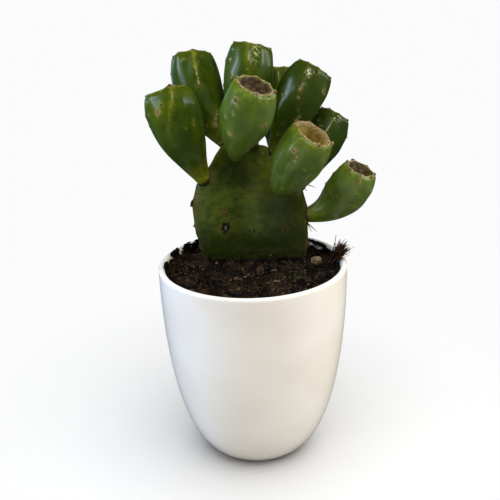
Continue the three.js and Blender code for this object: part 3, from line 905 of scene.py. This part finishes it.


# fruits: a skin round a bent middle line, from a neck sunk in the pad up to a crown and its cup.
# neck, bend and tip shape the line, in mm; belly, cup and foot are radii in mm; bellyAt is a share.
# angles run from the right, 90 to the front. crease: angle at the top and lower down. crown: angle
# and height of each areole on the edge. spots: share, angle, size in mm and look. glints: painted
# highlight specks, as share, angle, width and length. tilt: the cup's lean, as angle and mm. collar: the
# black ring at the neck, in mm

fruits = dict(
    left_front=dict(
        neck=(-31.3, 26, 192.2), bend=(-45, 12, 221.5), tip=(-54, 23, 256), belly=18.2, cup=15, foot=5,
        bellyAt=0.77, crease=(74, 112), glow=0.6, bloom_and_painted_light=0.6, pale=0.12, collar=2.6,
        crown=((155, 0.9), (74, 2.4), (26, 0.5), (-28, 0.8), (-80, 1.0), (-136, 0.9)),
        spots=[(0.83, 116, 1.5, "woolly"), (0.87, 104, 0.8, "pit"), (0.66, 44, 0.5, "pit")]),
    back_left=dict(
        neck=(-12.4, 33.4, 215.9), bend=(-36, 47.5, 240), tip=(-38.5, 62, 274.5), belly=16.8, cup=13.5,
        foot=6.5, bellyAt=0.68, crease=(83, 86), bloom_and_painted_light=0.5, pale=0.05, shade=0.22,
        painted_glints=(0.74, 86, 2.0, 0.11),
        crown=((172, 1.0), (129, 0.8), (81, 0.9), (40, 0.5), (4, 0.9), (-45, 0.7), (-95, 1.0), (-140, 0.8)),
        spots=[(0.61, 86, 0.9, "pit"), (0.22, 98, 1.4, "scar"), (0.26, 84, 0.8, "scar"),
               (0.30, 68, 1.3, "woolly")]),
    top_centre=dict(
        neck=(1, 29, 213), bend=(-4, 35.5, 243), tip=(4, 46.5, 281.5), belly=16.7, cup=13, foot=6,
        bellyAt=0.68, crease=(100, 84), glow=0.5, bloom_and_painted_light=0.6, pale=0.1, shade=0.2,
        painted_glints=(0.92, 76, 13, 0.085),
        crown=((163, 0.9), (114, 0.6), (60, 0.7), (5, 1.0), (-50, 0.8), (-100, 1.1), (-150, 0.7)),
        spots=[(0.80, 82, 0.8, "pit"), (0.66, 128, 0.7, "pit")]),
    front_centre=dict(
        neck=(-9.5, 25, 211), bend=(-11, -2, 217), tip=(5.5, -2, 262.5), belly=17.4, cup=13.2, foot=5,
        bellyAt=0.7, crease=(83, 83), bloom_and_painted_light=0.5, pale=1.0, tilt=(88, 3.2), taper=2.1, deep=1.3,
        crown=((182, 1.4), (132, 0.5), (83, 0.9), (44, 0.6), (6, 1.7), (-45, 0.6), (-92, 0.8), (-138, 0.5)),
        spots=[(0.87, 126, 1.6, "woolly"), (0.82, 115, 0.5, "pit"), (0.75, 122, 0.7, "scar"),
               (0.72, 48, 1.3, "woolly"), (0.56, 123, 1.6, "scar"), (0.53, 120, 0.6, "pit")]),
    back_centre=dict(
        neck=(21, 37, 196), bend=(23, 59, 212), tip=(22, 69.5, 263), belly=13.6, cup=11, foot=5,
        bellyAt=0.68, crease=(88, 91), glow=0.4, bloom_and_painted_light=0.2, pale=0.1, shade=0.35,
        crown=((150, 0.8), (110, 0.9), (62, 0.6), (14, 0.9), (-35, 0.7), (-85, 1.0), (-140, 0.8)),
        spots=[(0.8, 120, 0.9, "pit")]),
    right_top=dict(
        neck=(18.4, 29, 208.1), bend=(26, 30, 233), tip=(46, 40, 265.5), belly=16.2, cup=13.2, foot=6,
        bellyAt=0.72, crease=(108, 106), glow=0.28, bloom_and_painted_light=0.55, pale=0.15, shade=0.65,
        crown=((153, 0.8), (115, 0.7), (80, 0.7), (42, 0.5), (4, 1.0), (-50, 0.7), (-100, 0.9), (-152, 0.8)),
        painted_glints=(0.90, 98, 6, 0.045),
        spots=[(0.94, 80, 1.1, "pit"), (0.72, 97, 1.2, "scar"), (0.64, 93, 0.7, "scar"),
               (0.82, 36, 1.3, "woolly"), (0.46, 70, 0.8, "scar"), (0.86, 92, 0.6, "scar")]),
    right_front=dict(
        neck=(21.5, 22.5, 192), bend=(15.5, 0, 184.5), tip=(42, -8, 231.5), belly=17, cup=13.5, foot=6,
        bellyAt=0.68, crease=(128, 134), bloom_and_painted_light=0.85, pale=1.0, amber=1.0, deep=2.7, tilt=(90, 1.5),
        taper=1.95,
        crown=((194, 1.6), (128, 0.5), (74, 1.0), (18, 1.6), (-46, 0.8), (-104, 0.9)),
        spots=[(0.84, 125, 1.5, "woolly"), (0.85, 48, 0.7, "pit"), (0.67, 118, 0.6, "pit"),
               (0.72, 84, 0.4, "scar")]),
    right_back=dict(
        neck=(33, 31, 185), bend=(45, 42, 203), tip=(61.5, 54, 230.5), belly=15, cup=11.8, foot=5.5,
        bellyAt=0.7, crease=(78, 84), glow=0.5, bloom_and_painted_light=0.2, pale=0.1, shade=0.8, painted_glints=(0.93, 80, 11, 0.055),
        crown=((155, 0.7), (115, 1.0), (76, 0.5), (26, 0.9), (-30, 0.8), (-85, 0.9), (-145, 0.8)),
        spots=[(0.82, 1, 1.2, "woolly"), (0.6, 60, 0.7, "scar"), (0.66, 84, 0.8, "scar")]),
    right_low=dict(
        neck=(37, 27, 164.5), bend=(63, 26, 167), tip=(77, 24, 198.5), belly=15, cup=11, foot=4.8,
        bellyAt=0.7, crease=(92, 100), bloom_and_painted_light=0.7, pale=0.65, collar=2.4, tilt=(95, 1.5), deep=1.3,
        crown=((194, 1.3), (140, 0.6), (92, 1.0), (44, 0.7), (0, 0.9), (-58, 0.8), (-118, 1.2)),
        spots=[(0.54, 144, 0.9, "scar"), (0.75, 81, 0.9, "pit"), (0.59, 65, 0.8, "pit"),
               (0.92, 92, 1.1, "woolly"), (0.82, 18, 1.0, "pit"), (0.9, 176, 1.0, "pit")]),
)
skin = dict(
    columns=168, bodyRows=118, cupRows=34, cupDepth=0.09, ridge=0.5 * mm, crownPeak=0.9 * mm,
    crease=0.7 * mm, turnIn=1.3 * mm, swell=0.55 * mm, freckles=20,
    # areoles on the far side of every fruit: share and angle, before they are shifted at random
    farAreoles=((0.84, 215), (0.8, 290), (0.62, 250), (0.55, 320), (0.58, 195), (0.36, 285)),
)


def bentLine(fruit, share):
    # (1-q)^2 neck + 2q(1-q) bend + q^2 tip, walked at an even pace, and its direction
    start, bend, end = (np.array(fruit[key]) * mm for key in ("neck", "bend", "tip"))
    steps = np.linspace(0, 1, 300)[:, None]
    walk = (1 - steps) ** 2 * start + 2 * steps * (1 - steps) * bend + steps ** 2 * end
    length = np.concatenate([[0], np.cumsum(np.linalg.norm(np.diff(walk, axis=0), axis=1))])
    q = np.interp(share, length / length[-1], steps[:, 0])[..., None]
    middle = (1 - q) ** 2 * start + 2 * q * (1 - q) * bend + q ** 2 * end
    return middle, unit(2 * (1 - q) * (bend - start) + 2 * q * (end - bend)), length[-1]


def lineSides(along):
    # two directions across the line: side points right, third towards the front
    third = unit(np.cross([1.0, 0, 0], along))
    return np.cross(along, third), third


def bodyRadius(fruit, share):
    # a sine swell from the foot to the belly, then a rounded shoulder to the cup's rim
    swell = np.sin(math.pi / 2 * np.clip(share / fruit["bellyAt"], 0, 1) ** 1.15) ** fruit.get("taper", 1.25)
    past = np.clip((share - fruit["bellyAt"]) / (1 - fruit["bellyAt"]), 0, 1)
    radius = lerp(fruit["foot"], fruit["belly"], swell) + (fruit["cup"] - fruit["belly"]) * past ** 2.2
    return radius * mm


def crownPeaks(turn, fruit, wide, power):
    # each crown areole's own height, falling off on both sides like exp(-(turn/wide)^power)
    degrees, height = np.array(fruit["crown"], float).T
    away = np.abs(angleBetween(turn[..., None], np.radians(degrees)))
    return (height * np.exp(-(away / wide) ** power)).sum(axis=-1)


def fruitPaint(name, tones):
    paint = Paint(name, Specular_IOR_Level=tones["sheen"], Coat_Roughness=0.23)
    broad = paint.noise(0.012, detail=3, roughness=0.5)
    mottle = paint.noise(0.0032, detail=4, roughness=0.6)
    grain = paint.noise(0.0008, detail=3, roughness=0.7)
    colour = paint.blend(tones["deep"], tones["mid"], paint.fade(broad, 0.36, 0.62))
    colour = paint.blend(colour, tones["light"], paint.fade(mottle, 0.50, 0.72) * 0.22)
    # bloom: the skin's own waxy bloom, plus painted sheen and a painted pale rim on the pale fruits
    colour = paint.blend(colour, tones["bloom_and_painted_light"], paint.mark("bloom_and_painted_light") * (0.35 + 0.65 * mottle))
    # yellow: the skin's own yellow at crown, neck and areoles, and a painted highlight along the creases
    yellow_and_painted_highlight = paint.mark("yellow_and_painted_highlight") * (0.35 + 0.65 * paint.fade(mottle, 0.36, 0.60))
    colour = paint.blend(colour, tones["yellow_and_painted_highlight"], yellow_and_painted_highlight)
    colour = paint.blend(colour, (0.013, 0.028, 0.0002), paint.mark("shade"))
    pores = paint.fade(paint.cells(0.0017), 0.17, 0.10) * paint.fade(grain, 0.42, 0.58)
    colour = paint.blend(colour, (0.19, 0.20, 0.07), pores * 0.34)
    speck = paint.fade(paint.noise(0.0013, detail=2), 0.66, 0.72)
    colour = paint.blend(colour, (0.030, 0.035, 0.006), speck * 0.45)
    # painted highlight: near-white yellow glints where light sparkles on the skin
    painted_glints = paint.mark("painted_glints") * paint.fade(paint.noise(0.0019, detail=5, roughness=0.75), 0.51, 0.60)
    colour = paint.blend(colour, (0.62, 0.62, 0.26), painted_glints * 0.85)
    amber = paint.mark("amber")
    cork = paint.mark("cork") * paint.fade(mottle + 0.4 * grain + 0.3 * amber, 0.50, 0.80)
    corkTone = paint.blend((0.155, 0.092, 0.032), (0.40, 0.305, 0.150), paint.fade(grain, 0.4, 0.62))
    colour = paint.blend(colour, corkTone, cork)
    cup = paint.mark("cup")
    # dry brown cups, or a moist amber one whose middle is darkened as painted shade
    dusty = paint.fade(mottle + 0.3 * grain, 0.50, 0.85)
    floor = paint.blend((0.022, 0.013, 0.005), (0.110, 0.078, 0.036), dusty)
    scarred = paint.mark("scar") * paint.fade(mottle, 0.35, 0.6) * 0.9
    floor = paint.blend(floor, (0.15, 0.145, 0.125), scarred)
    moist = paint.fade(broad + 0.3 * mottle, 0.5, 0.8)
    amberTone = paint.blend((0.125, 0.070, 0.006), (0.29, 0.225, 0.055), moist)
    # painted shade: the amber cup darkens towards its middle so that it looks deep
    amberTone = paint.blend(amberTone, (0.050, 0.040, 0.002), paint.mark("scar") * 0.85)
    floor = paint.blend(floor, amberTone, amber)
    colour = paint.blend(colour, floor, cup)
    colour = paint.blend(colour, (0.009, 0.006, 0.003), paint.mark("dark"))
    dry = cup * (1 - amber)
    gloss = tones["gloss"] + (1 - tones["gloss"]) * cup
    paint.connect(gloss * (1 - dry) * (1 - cork), paint.shader.inputs["Coat Weight"])
    rough = 0.34 + 0.14 * mottle + 0.12 * paint.mark("bloom_and_painted_light") + 0.3 * cork + cup * (0.32 - 0.45 * amber)
    height = mottle * 0.00022 + grain * 0.00008 + cup * (1 - amber) * mottle * 0.0012
    return paint.finish(colour, rough, height, 0.4)


darkTones = dict(deep=(0.026, 0.051, 0.0003), mid=(0.043, 0.073, 0.0006), light=(0.080, 0.105, 0.002),
                 bloom_and_painted_light=(0.072, 0.118, 0.030), yellow_and_painted_highlight=(0.25, 0.25, 0.006), gloss=0.85, sheen=0.10)
paleTones = dict(deep=(0.046, 0.084, 0.004), mid=(0.066, 0.112, 0.008), light=(0.100, 0.136, 0.016),
                 bloom_and_painted_light=(0.120, 0.162, 0.050), yellow_and_painted_highlight=(0.160, 0.200, 0.003), gloss=0.66, sheen=0.34)


def makeFruit(name, fruit, paint):
    seed = sum(map(ord, name))
    turn = np.linspace(0, 2 * math.pi, skin["columns"], endpoint=False)[None]
    length = bentLine(fruit, 1.0)[2]
    share = np.linspace(0, 1, skin["bodyRows"]) ** 0.85
    inward = np.linspace(0, 1, skin["cupRows"])[1:-1]
    # rows: up the body, over the crown, then down into the cup
    along = np.concatenate([share, np.ones(len(inward))])[:, None]
    into = np.concatenate([np.zeros(len(share)), inward])[:, None]
    middle, direction, _ = bentLine(fruit, along[:, 0])
    side, third = lineSides(direction)
    still = 0 * turn * along
    wave = np.stack([np.cos(turn) * 1.6 + still, np.sin(turn) * 1.6 + still, along * 4 + still], axis=-1)
    body = bodyRadius(fruit, along) * (1 + 0.025 * softNoise(wave + seed, seed))
    # creases run down from the crown's peaks and flatten the skin between them
    ridges = np.minimum(crownPeaks(turn, fruit, 0.30, 2), 1.0)
    high = fade(along, 0.50, 1.0)
    body = body + skin["ridge"] * (ridges - 0.4) * high
    creaseTop, creaseLow = fruit["crease"]
    creaseAt = np.radians(lerp(creaseLow, creaseTop, fade(along, 0.55, 1.0)))
    creaseAway = angleBetween(turn, creaseAt)
    crease = skin["crease"] * fruit.get("glow", 1)
    body = body + crease * np.exp(-(creaseAway / 0.17) ** 2) * fade(along, 0.5, 0.8)
    swells = softNoise(wave * [1.7, 1.7, 1.2] + seed, seed + 3)
    body = body + skin["swell"] * swells * fade(along, 0.05, 0.3)
    # the top edge turns in over the last millimetres
    body = body - skin["turnIn"] * fade(along, 0.945, 1.0) ** 2
    # the crown: pointed at each areole, sagging between
    peaks = crownPeaks(turn, fruit, 0.21, 1.4)
    tiltTo, tiltBy = fruit.get("tilt", (90, 0))
    rise = skin["crownPeak"] * (peaks - 0.25) * fade(along, 0.80, 1.0)
    rise = rise - tiltBy * mm * np.cos(turn - math.radians(tiltTo)) * fade(along, 0.35, 1.0)
    # the cup narrows at an even pace and drops in an S to its floor
    drop = -skin["cupDepth"] * length * (0.16 * fade(into, 0.02, 0.20) + 0.84 * fade(into, 0.16, 0.62))
    depth = fruit.get("deep", 1.0)
    wrinkle = 0.35 * mm * np.sin(into * 38 + 2 * softNoise(wave * 2, seed + 7))
    wrinkle = wrinkle * fade(into, 0.12, 0.3) * fade(into, 1.0, 0.6)
    floorSpots = np.stack([into * np.cos(turn) * 5, into * np.sin(turn) * 5, still], axis=-1)
    lumps = 0.6 * mm * softNoise(floorSpots, seed)
    smoothCup = 1 - 0.8 * fruit.get("amber", 0)
    drop = drop * depth + (wrinkle + lumps * fade(into, 0.3, 0.6)) * smoothCup
    radius = body * (1 - into) + 0.25 * mm * np.sin(into * math.pi)
    rise = rise * (1 - fade(into, 0.0, 0.4)) + drop
    dark, cork, yellow_and_painted_highlight = np.zeros((3, len(along), skin["columns"]))
    outside = (into == 0)
    rng = np.random.default_rng(seed)
    spots = list(fruit["spots"])
    for u, t in skin["farAreoles"]:
        spots.append((u + rng.uniform(-0.06, 0.06), t + rng.uniform(-14, 14),
                      rng.uniform(0.8, 1.3), "woolly"))
    for k in range(skin["freckles"]):
        look = "scar" if k % 2 else "pit"
        spots.append((rng.uniform(0.22, 0.93), rng.uniform(0, 360), rng.uniform(0.25, 0.65), look))
    for spotShare, spotTurn, size, look in spots:
        away = np.hypot((along - spotShare) * length, angleBetween(turn, math.radians(spotTurn)) * body)
        away = away + 0.2 * size * mm * softNoise(wave * 9, seed + 2)
        mound = 0.55 * mm * np.exp(-(away / (2.6 * size * mm)) ** 2)
        radius = radius + outside * (mound - 0.35 * mm * np.exp(-(away / (0.7 * size * mm)) ** 2))
        if look == "scar":
            cork = np.maximum(cork, outside * np.exp(-(away / (1.2 * size * mm)) ** 2))
        else:
            wide = 0.95 if look == "pit" else 0.8
            deepness = outside * (1.0 if look == "pit" else 0.5)
            dark = np.maximum(dark, deepness * (1 - fade(away, 0.35 * size * mm, wide * size * mm)))
            halo = 0.15 if look == "pit" else 0.7
            cork = np.maximum(cork, outside * halo * np.exp(-((away - size * mm) / (0.55 * size * mm)) ** 2))
        yellow_and_painted_highlight = np.maximum(yellow_and_painted_highlight, outside * 0.35 * np.exp(-(away / (3.5 * size * mm)) ** 2))
    points = middle[:, None] + direction[:, None] * rise[..., None]
    out = np.cos(turn)[..., None] * side[:, None] + np.sin(turn)[..., None] * third[:, None]
    points = points + radius[..., None] * out
    ragged = softNoise(wave * 5 + seed, seed + 11)
    # a corky line along the crown, wider at its peaks, and the pale band under it
    rim = lerp(0.05, 0.065, fruit["pale"]) + 0.06 * fruit.get("amber", 0)
    crownLine = fade((along - 1) * length + 0.9 * mm * peaks + 0.35 * mm * ragged, -1.0 * mm, 0.1 * mm)
    crownLine = crownLine * (1 - fade(into + 0.03 * ragged, rim, rim + 0.06))
    corkiness = lerp(0.55, 1.0, fruit["pale"])
    cork = np.maximum(cork, crownLine * corkiness)
    crownGlow = lerp(0.2 * fruit.get("glow", 1), 0.8, fruit["pale"]) * (0.6 + 0.5 * ragged)
    yellow_and_painted_highlight = np.maximum(yellow_and_painted_highlight, crownGlow * fade(along, 0.86, 0.985) * outside)
    # along the crease the yellow is partly the skin's own colour and partly a painted highlight on the ridge
    creaseWide = lerp(0.06, 0.20, fade(along, 0.6, 1.0)) * (1 + 0.5 * ragged)
    crease = np.exp(-(creaseAway / creaseWide) ** 2) * fade(along, 0.52, 0.85) * outside
    yellow_and_painted_highlight = np.maximum(yellow_and_painted_highlight, (0.75 - 0.45 * fruit["pale"]) * fruit.get("glow", 1) * crease)
    fromPad = padDistance(points)
    collar = 1 - fade(fromPad + 0.5 * mm * ragged, 1.6 * mm, 3.2 * mm)
    yellow_and_painted_highlight = np.maximum(yellow_and_painted_highlight, 0.75 * (1 - fade(fromPad, 2 * mm, 14 * mm)) * outside)
    # painted glints, near-white specks that stand for sparkles of light on the skin: share, degrees, width in
    # degrees, length as a share
    glintShare, glintTurn, glintWide, glintLong = fruit.get("painted_glints", (0.9, 90, 3, 0.001))
    painted_glints = np.exp(-((along - glintShare) / glintLong) ** 2) * outside
    painted_glints = painted_glints * np.exp(-(np.degrees(angleBetween(turn, math.radians(glintTurn))) / glintWide) ** 2)
    shade = np.full(dark.shape, fruit.get("shade", 0.0)) * outside
    dry = 1 - 0.8 * fruit["pale"]
    cork = np.maximum(cork, 0.8 * dry * collar * outside)
    # painted light: a pale line round the pale fruits' toes where they meet the pad
    paintedRimLight = fruit["pale"] * (1 - fade(fromPad + 0.3 * mm * ragged, 0.7 * mm, 1.9 * mm)) * outside
    # the dry black ring where a neck leaves the pad
    ringEnd = fruit.get("collar", 2) * mm
    ring = fade(along * length + 0.9 * mm * ragged, ringEnd + 1.4 * mm, ringEnd)
    dark = np.maximum(dark, 0.9 * ring * outside)
    seam = 1 - fade(fromPad + 0.5 * mm * ragged, 0.9 * mm, 2.0 * mm)
    dark = np.maximum(dark, 0.85 * dry * seam * outside)
    cloud = 0.5 + 0.6 * roughNoise(wave * [1.3, 1.3, 1] + seed, seed + 5, 3)
    # the cloud is the skin's own bloom; the pale fruits also get painted sheen on their right side
    bloom_and_painted_light = fruit["bloom_and_painted_light"] * fade(cloud, 0.35, 0.95) + 0.45 * fruit["pale"] * fade(np.cos(turn), 0.25, 0.95)
    bloom_and_painted_light = np.maximum(bloom_and_painted_light * outside * fade(along, 1.0, 0.85), paintedRimLight)
    cup = fade(into + 0.03 * ragged, rim, rim + 0.06)
    # the middle of the cup, where the flower sat; in the amber cup the same mask darkens it as painted shade
    scar = fade(into + 0.06 * ragged, 0.45, 0.75) * (into > 0)
    amber = np.full(dark.shape, float(fruit.get("amber", 0)))
    floorPoint = points[-1].mean(axis=0)
    footPoint = middle[0] - direction[0] * 0.5 * mm
    corners, faces = closedRings(points[:, ::-1], footPoint, floorPoint)
    marks = dict(dark=dark, cork=cork, yellow_and_painted_highlight=yellow_and_painted_highlight, bloom_and_painted_light=bloom_and_painted_light, cup=cup, scar=scar, amber=amber,
                 shade=shade, painted_glints=painted_glints)
    marks = {key: withPoles(np.clip(values[:, ::-1], 0, 1)) for key, values in marks.items()}
    makePiece("skin_" + name, corners, faces, paint, ["fruit_" + name], marks)
    # where the areole cushions go, set on the finished skin: on the body, and one on each crown point
    for spotShare, spotTurn, size, look in spots:
        if look == "woolly":
            row = int(np.abs(share - spotShare).argmin())
            addFruitAreole(points, out, direction, row, spotTurn, size * 0.75 * mm, 0.0)
    for at, high in fruit["crown"]:
        size = (0.65 + lerp(0.4, 0.85, fruit["pale"]) * min(high, 1.7)) * mm
        addFruitAreole(points, out, direction, len(share) - 3, at, size, 0.6)


def addFruitAreole(points, out, direction, row, degrees, size, lean):
    # a cushion on the grid corner nearest that angle, leaning up the fruit by lean
    column = round(degrees / 360 * skin["columns"]) % skin["columns"]
    outward = out[row, column] + lean * direction[row]
    areoles.append((points[row, column] + 0.2 * size * outward, outward, size, "crown" if lean else "woolly"))


def makeFruits():
    dark = fruitPaint("fruit_skin_dark", darkTones)
    pale = fruitPaint("fruit_skin_pale", paleTones)
    for name, fruit in fruits.items():
        light = fruit["pale"] > 0.5
        makeFruit(name, fruit, pale if light else dark)
    print("fruits:", len(fruits))


# areoles: a small cushion of wool on each, with a few short bristles

wool = dict(seed=61, tufts=8, bristlesEach=5, bristle=1.2 * mm, bristleThick=0.085 * mm)


def makeAreoles():
    # each cushion is a low lump with smaller tufts of wool packed round it
    rng = np.random.default_rng(wool["seed"])
    at = np.array([spot[0] for spot in areoles], float)
    out = unit(np.array([spot[1] for spot in areoles], float))
    size = np.array([spot[2] for spot in areoles])
    look = np.array([spot[3] for spot in areoles])
    helper = np.where(np.abs(out[:, 2:]) > 0.9, [1.0, 0, 0], [0, 0, 1.0])
    side = unit(np.cross(helper, out))
    turns = np.stack([side, np.cross(out, side), out], axis=-1)
    owner = np.repeat(np.arange(len(at)), wool["tufts"])
    main = np.arange(len(owner)) % wool["tufts"] == 0
    drift = np.clip(rng.normal(0, 0.5, (len(owner), 3)), -0.85, 0.85) * np.array([1.0, 0.8, 0.3])
    drift = (drift - [0, 0, 0.08]) * ~main[:, None]
    places = at[owner] + np.einsum("nij,nj->ni", turns[owner], drift * size[owner][:, None])
    shape, faces = lumpShape()
    uneven = shape[None] * rng.uniform(0.7, 1.25, (len(owner), 12, 1))
    each = size[owner] * np.where(main, 0.85, rng.uniform(0.22, 0.5, len(owner)))
    squash = each[:, None, None] * np.array([1.0, 0.8, 0.55])
    corners, faces = manyCopies(uneven, faces, places, turns[owner], squash)
    plain = rng.uniform(0.35, 0.85, len(at))
    tone = np.where(look == "silver", 0.6, np.where(look == "edge", 0.1, plain))[owner]
    spread = rng.uniform(-0.25, 0.45, len(owner)) * np.where(look[owner] == "edge", 0.4, 1.0)
    tone = np.clip(tone + np.where(main, -0.1, spread), 0, 1)
    paint = Paint("areole_wool", Specular_IOR_Level=0.2)
    grain = paint.noise(0.0004, detail=3)
    mark = paint.mark("tone")
    colour = paint.blend((0.018, 0.011, 0.005), (0.19, 0.125, 0.056), paint.fade(mark, 0.1, 0.55))
    colour = paint.blend(colour, (0.42, 0.33, 0.22), paint.fade(mark, 0.55, 1.0))
    colour = paint.blend(colour, (0.02, 0.012, 0.006), paint.fade(grain, 0.55, 0.7) * 0.6)
    paint.finish(colour, 0.85 + 0.1 * grain, grain * 0.0003, 0.8)
    makePiece("areole_cushions", corners, [faces], paint, (), dict(tone=np.repeat(tone, 12)))
    # bristles lean out of each cushion at up to about 50 degrees; the pad's spines are set one by one
    count = np.where(look == "edge", 7, wool["bristlesEach"])
    owner = np.repeat(np.arange(len(at)), count)
    lean = unit(out[owner] + rng.normal(0, 0.5, (len(owner), 3)))
    long = wool["bristle"] * rng.uniform(0.4, 1.0, len(owner)) * np.where(look[owner] == "edge", 1.5, 1.0)
    long = long * np.where(np.arange(len(owner)) % 11 == 0, 1.5, 1.0)
    steps = np.linspace(0, 1, 4)
    start = at[owner]
    bow = rng.normal(0, 0.12, (len(owner), 1, 3))
    thick = np.full(len(owner), wool["bristleThick"])
    for degrees, rise, length in pad["spines"]:
        root, _ = padEdge(degrees, 0.2 * mm)
        a = math.radians(rise)
        start = np.concatenate([start, [np.array(root) - [0, 2.5 * mm, 0]]])
        lean = np.concatenate([lean, [[math.cos(a), -0.35, math.sin(a)]]])
        long = np.append(long, length * mm)
        bow = np.concatenate([bow, [[[0.02, 0, -0.10]]]])
        thick = np.append(thick, pad["spineThick"])
    # a path is start + length * (s * lean + s^2 * bow)
    paths = lean[:, None] * steps[:, None] + bow * (steps ** 2)[:, None]
    paths = start[:, None] + paths * long[:, None, None]
    radii = thick[:, None] * np.array([1.0, 0.9, 0.75, 0.35])
    corners, faces = strands(paths, radii, 4)
    paint = Paint("bristle", Specular_IOR_Level=0.4)
    grain = paint.noise(0.002, detail=2)
    colour = paint.blend((0.016, 0.009, 0.005), (0.075, 0.042, 0.020), paint.fade(grain, 0.45, 0.65))
    paint.finish(colour, 0.45 + 0.2 * grain, grain * 0.0001, 0.2)
    makePiece("areole_bristles", corners, faces, paint)
    print("areoles:", len(at), "with", len(long), "bristles")


# stage, light and camera

studio = dict(floorHalf=9.0, world=0.19, backdrop=1.0, gloss=0.015, sun=2.72, sunAngle=60,
              sunFrom=(0.16, -0.30, 2))
# for each light: where it stands, the height it points at, width, height, power, colour, and
# whether the skins mirror it. wide soft ones do the shading, and windows show in the skins
windows = dict(
    left_fill=((-1.10, 0.0, 0.66), 0.2, 0.80, 0.62, 10.0, (0.36, 0.54, 1.0), False),
    left_window=((-1.02, -0.22, 0.70), 0.2, 0.70, 0.60, 3.0, (0.66, 0.90, 1.0), True),
    left_pane=((-1.00, -0.02, 0.66), 0.2, 0.12, 0.42, 1.3, (0.80, 0.94, 1.0), True),
    back_left_pane=((-0.80, 0.95, 0.30), 0.1, 0.16, 0.60, 0.55, (0.50, 0.80, 1.0), True),
    right_fill=((1.15, 0.02, 0.60), 0.2, 0.85, 0.75, 7.3, (1.0, 0.96, 0.86), False),
    right_window=((1.05, -0.06, 0.72), 0.2, 0.30, 0.44, 2.1, (0.94, 1.0, 0.97), True),
    right_back_window=((0.95, 0.40, 0.52), 0.2, 0.36, 0.46, 0.95, (0.97, 1.0, 0.95), True),
    front_fill=((0.15, -1.25, 0.75), 0.2, 0.70, 0.60, 1.6, (1.0, 0.68, 0.36), False),
    front_top=((0.25, -0.75, 1.15), 0.2, 0.13, 0.20, 1.6, (1.0, 0.96, 0.80), True),
)


def makeStage():
    half = studio["floorHalf"]
    corners = [(-half, -half, 0), (half, -half, 0), (half, half, 0), (-half, half, 0)]
    mesh = bpy.data.meshes.new("studio_floor")
    mesh.from_pydata(corners, [], [(0, 1, 2, 3)])
    floor = bpy.data.objects.new("studio_floor", mesh)
    bpy.context.scene.collection.objects.link(floor)
    mesh.materials.append(Paint("white_floor", Base_Color=(0.93, 0.93, 0.93, 1), Roughness=0.9,
                                Specular_IOR_Level=0.0).material)
    floor.visible_glossy = False


def aimed(where, aim, roll=0.0):
    # a turn whose -Z looks from where to aim, rolled about the view
    forward = (Vector(aim) - Vector(where)).normalized()
    right = forward.cross(Vector((0, 0, 1))).normalized()
    up = right.cross(forward)
    x = right * math.cos(roll) - up * math.sin(roll)
    y = right * math.sin(roll) + up * math.cos(roll)
    turn = Matrix((x, y, -forward)).transposed().to_4x4()
    return Matrix.Translation(where) @ turn


def makeLights():
    # the windows light the plant and pot only, so the floor keeps an even, soft shadow
    lit = bpy.data.collections.new("not_the_floor")
    lit.objects.link(bpy.data.objects["studio_floor"])
    lit.collection_objects[0].light_linking.link_state = "EXCLUDE"
    for name, (where, aimZ, width, height, power, colour, mirrored) in windows.items():
        lamp = bpy.data.lights.new(name, "AREA")
        lamp.shape = "RECTANGLE"
        lamp.size = width
        lamp.size_y = height
        lamp.energy = power
        lamp.color = colour
        holder = bpy.data.objects.new(name, lamp)
        holder.matrix_world = aimed(where, (0, 0, aimZ))
        holder.light_linking.receiver_collection = lit
        holder.visible_glossy = mirrored
        bpy.context.scene.collection.objects.link(holder)
    sun = bpy.data.lights.new("high_soft", "SUN")
    sun.energy = studio["sun"]
    sun.angle = math.radians(studio["sunAngle"])
    holder = bpy.data.objects.new("high_soft", sun)
    holder.matrix_world = aimed(studio["sunFrom"], (0, 0, 0))
    holder.visible_glossy = False
    bpy.context.scene.collection.objects.link(holder)
    # the world lights the room; what the camera sees of it is plain white
    world = bpy.data.worlds.new("studio_room")
    bpy.context.scene.world = world
    world.use_nodes = True
    world.cycles.sampling_method = "NONE"
    tree = world.node_tree
    room = tree.nodes["Background"]
    room.inputs["Color"].default_value = (0.96, 0.98, 1.0, 1)
    room.inputs["Strength"].default_value = studio["world"]
    rays = tree.nodes.new("ShaderNodeLightPath")
    before = room.outputs[0]
    for ray, strength in (("Is Glossy Ray", studio["gloss"]), ("Is Camera Ray", studio["backdrop"])):
        paper = tree.nodes.new("ShaderNodeBackground")
        paper.inputs["Strength"].default_value = strength
        either = tree.nodes.new("ShaderNodeMixShader")
        tree.links.new(rays.outputs[ray], either.inputs[0])
        tree.links.new(before, either.inputs[1])
        tree.links.new(paper.outputs[0], either.inputs[2])
        before = either.outputs[0]
    tree.links.new(before, tree.nodes["World Output"].inputs["Surface"])
    print("lights:", len(windows) + 1)


# distance in metres from the middle of the pot's rim, angles in degrees, lens in mm
view = dict(distance=0.560, elevation=21.25, roll=1.832, aimX=-0.00154, aimZ=0.14956, lens=58.28, sensor=36)


def makeCamera():
    e = math.radians(view["elevation"])
    where = (0, -view["distance"] * math.cos(e), pot["height"] + view["distance"] * math.sin(e))
    camera = bpy.data.cameras.new("main_view")
    camera.lens = view["lens"]
    camera.sensor_width = view["sensor"]
    holder = bpy.data.objects.new("view_camera", camera)
    holder.matrix_world = aimed(where, (view["aimX"], 0, view["aimZ"]), math.radians(view["roll"]))
    bpy.context.scene.collection.objects.link(holder)
    bpy.context.scene.camera = holder
    bpy.context.scene.view_settings.view_transform = "Standard"
    print("camera: set")


areoles = []
measured = measurePad()

makePot()
makeSoil()
makeLooseBits()
makePad()
makeFruits()
makeAreoles()
makeStage()
makeLights()
makeCamera()
